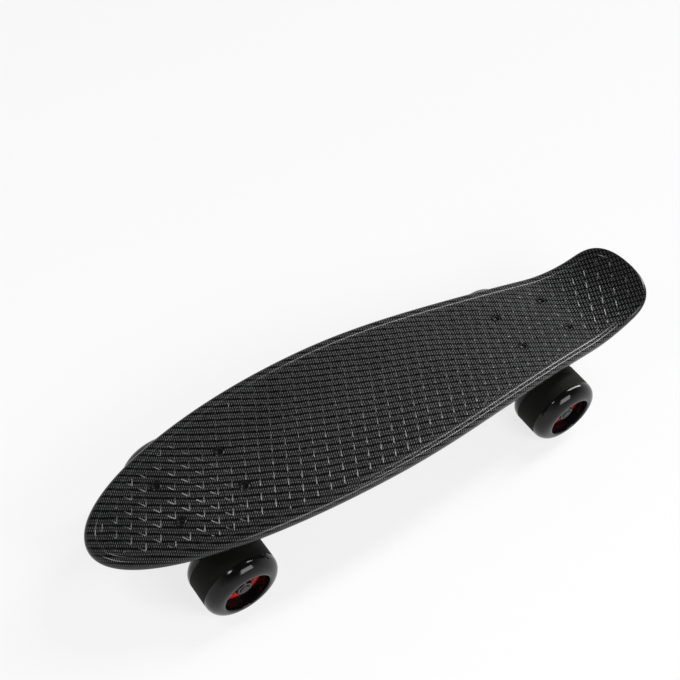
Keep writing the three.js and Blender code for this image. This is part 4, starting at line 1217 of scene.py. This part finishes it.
def add_bearing(name, which, at, body):
    low, high = BEARING_LOW, BEARING_HIGH
    sunk = high - SEAL_SINK
    ring = [(BORE_R, low), (BEARING_R, low), (BEARING_R, high), (SEAL_OUTER_R + SEAL_WALL, high)]
    ring += [(SEAL_OUTER_R - SEAL_WALL, sunk), (SEAL_INNER_R + SEAL_WALL, sunk)]
    ring += [(SEAL_INNER_R - SEAL_WALL, high), (BORE_R, high)]
    verts, faces = lathe(rounded(ring + [ring[0]], 0.2)[:-1], at, 64, closed=True)
    back = at.inverted()

    def shield(place):
        local = back @ place
        return int(SEAL_INNER_R < local.xy.length < SEAL_OUTER_R and local.z > RECESS_FLOOR)

    bearing = made(f"{name}_{which}_race", verts, faces, race, 30, materials=(seal,), pick=shield)
    dress(bearing, body, f"{name}_{which}_bearing")


def add_wheel(truck_name, name, truck, side):
    body = name + "_wheel"
    at = wheel_matrix(truck, side)
    back = at.inverted()

    def moulded(place):
        local = back @ place
        return int(abs(local.z) > WHEEL_W / 2 - LIP_R - 0.2 or local.xy.length < WHEEL_R - 3)

    verts, faces = lathe(tyre_profile(), at, 120, closed=True)
    tyre = made(name + "_tyre_urethane", verts, faces, tread, 50, materials=(lip,), pick=moulded)
    dress(tyre, body, name + "_tyre")
    core = turned(name + "_core_boss", core_profile(), at, red, corner=0.4, steps=96)
    dress(core, body, name + "_core")
    add_bearing(name, "outer", at, body)
    add_bearing(name, "inner", at @ Matrix.Rotation(math.pi, 4, "X"), body)
    low = BEARING_HIGH + GAP
    locknut = hex_nut(
        name + "_locknut", at, darknut, AXLE_NUT_FLATS, BORE_R, low, AXLE_NUT_HEIGHT,
        washer=WASHER_STEP,
    )
    dress(locknut, truck_name + "_truck", name + "_axle_nut")


# Stage, light and camera
def seen(n):
    """One for a ray from the camera, a mirror or glass, and nought for the light that falls on things."""
    path = n.add("LightPath")
    shown = n.m("MAXIMUM", path.outputs["Is Camera Ray"], path.outputs["Is Glossy Ray"])
    return n.m("MAXIMUM", shown, path.outputs["Is Transmission Ray"])


def floor_paper():
    """Plain white paper that shows part of its white of itself, so that shadows on it stay pale; that glow is
    painted light, whiter towards +X and -Y, where the lamps light the paper less.
    """
    n = Nodes("floor_paper")
    n.set(Base_Color=n.mix(n.noise(0.8, 2.0), (0.87, 0.87, 0.87), (0.89, 0.89, 0.89)), Roughness=0.9)
    n.set(Specular_IOR_Level=0.0)
    glow = n.add("Emission")
    x, y, _ = n.parts(n.add("TexCoord").outputs["Object"])
    # Painted light: the glow grows whiter towards +X and -Y to make up for the lamps lighting that side less.
    toward = n.m("MULTIPLY_ADD", x, 0.80, n.times(y, -0.57))
    painted_light_ramp = n.mix(n.span(toward, 0.0, 1.0, -0.5, 0.5), (0.92, 0.92, 0.92), (1.0, 1.0, 1.0))
    n.link(painted_light_ramp, glow.inputs["Color"])
    blend = n.add("MixShader")
    n.link(n.times(seen(n), 0.8), blend.inputs["Fac"])
    n.link(n.shader.outputs[0], blend.inputs[1])
    n.link(glow.outputs[0], blend.inputs[2])
    n.link(blend.outputs[0], n.tree.nodes["Material Output"].inputs["Surface"])
    return n.material


def add_floor():
    half = FLOOR_HALF
    mesh = bpy.data.meshes.new("floor")
    corners = [(-half, -half, 0), (half, -half, 0), (half, half, 0), (-half, half, 0)]
    mesh.from_pydata(corners, [], [(0, 1, 2, 3)])
    mesh.materials.append(floor_paper())
    floor = placed("floor", mesh)
    floor.location = (0, 0, -0.1 * MM)


def add_world():
    """A studio that is pale near the horizon and dim overhead."""
    world = bpy.data.worlds.new("studio")
    bpy.context.scene.world = world
    world.use_nodes = True
    tree = world.node_tree
    kinds = ("TexCoord", "SeparateXYZ", "ValToRGB")
    place, parts, ramp = (tree.nodes.new("ShaderNode" + kind) for kind in kinds)
    set_stops(ramp, [(at, (level, level, level)) for at, level in SKY])
    tree.links.new(place.outputs["Generated"], parts.inputs[0])
    tree.links.new(parts.outputs[2], ramp.inputs[0])
    tree.links.new(ramp.outputs[0], tree.nodes["Background"].inputs["Color"])


def add_light(name, place, along, size, power):
    """A soft box at a place, turned to the object, with its first side's length lying along a direction."""
    data = bpy.data.lights.new(name, "AREA")
    data.shape = "RECTANGLE"
    data.size, data.size_y = size
    data.energy = power
    out = Vector(place).normalized()
    side = out.cross(Vector(along)).normalized()
    turn = Matrix((side.cross(out), side, out)).transposed()
    placed(name, data).matrix_world = Matrix.Translation(place) @ turn.to_4x4()


def add_camera():
    data = bpy.data.cameras.new("camera")
    data.sensor_width, data.lens = 36.0, LENS
    data.shift_x, data.shift_y = SHIFT
    camera = placed("camera", data)
    up, back = -DOWN, RIGHT.cross(-DOWN)
    camera.matrix_world = Matrix.Translation(CAMERA) @ Matrix((RIGHT, up, back)).transposed().to_4x4()
    bpy.context.scene.camera = camera
    bpy.context.scene.view_settings.view_transform = "Standard"


add_deck()
add_label()
for truck_name, truck_end in (("front", 1), ("rear", -1)):
    add_truck(truck_name, truck_end)
    for wheel_side, own in (("left", truck_end), ("right", -truck_end)):
        add_wheel(truck_name, f"{truck_name}_{wheel_side}", truck_matrix(truck_end), own)
add_floor()
add_world()
for lamp in LAMPS:
    add_light(*lamp)
add_camera()
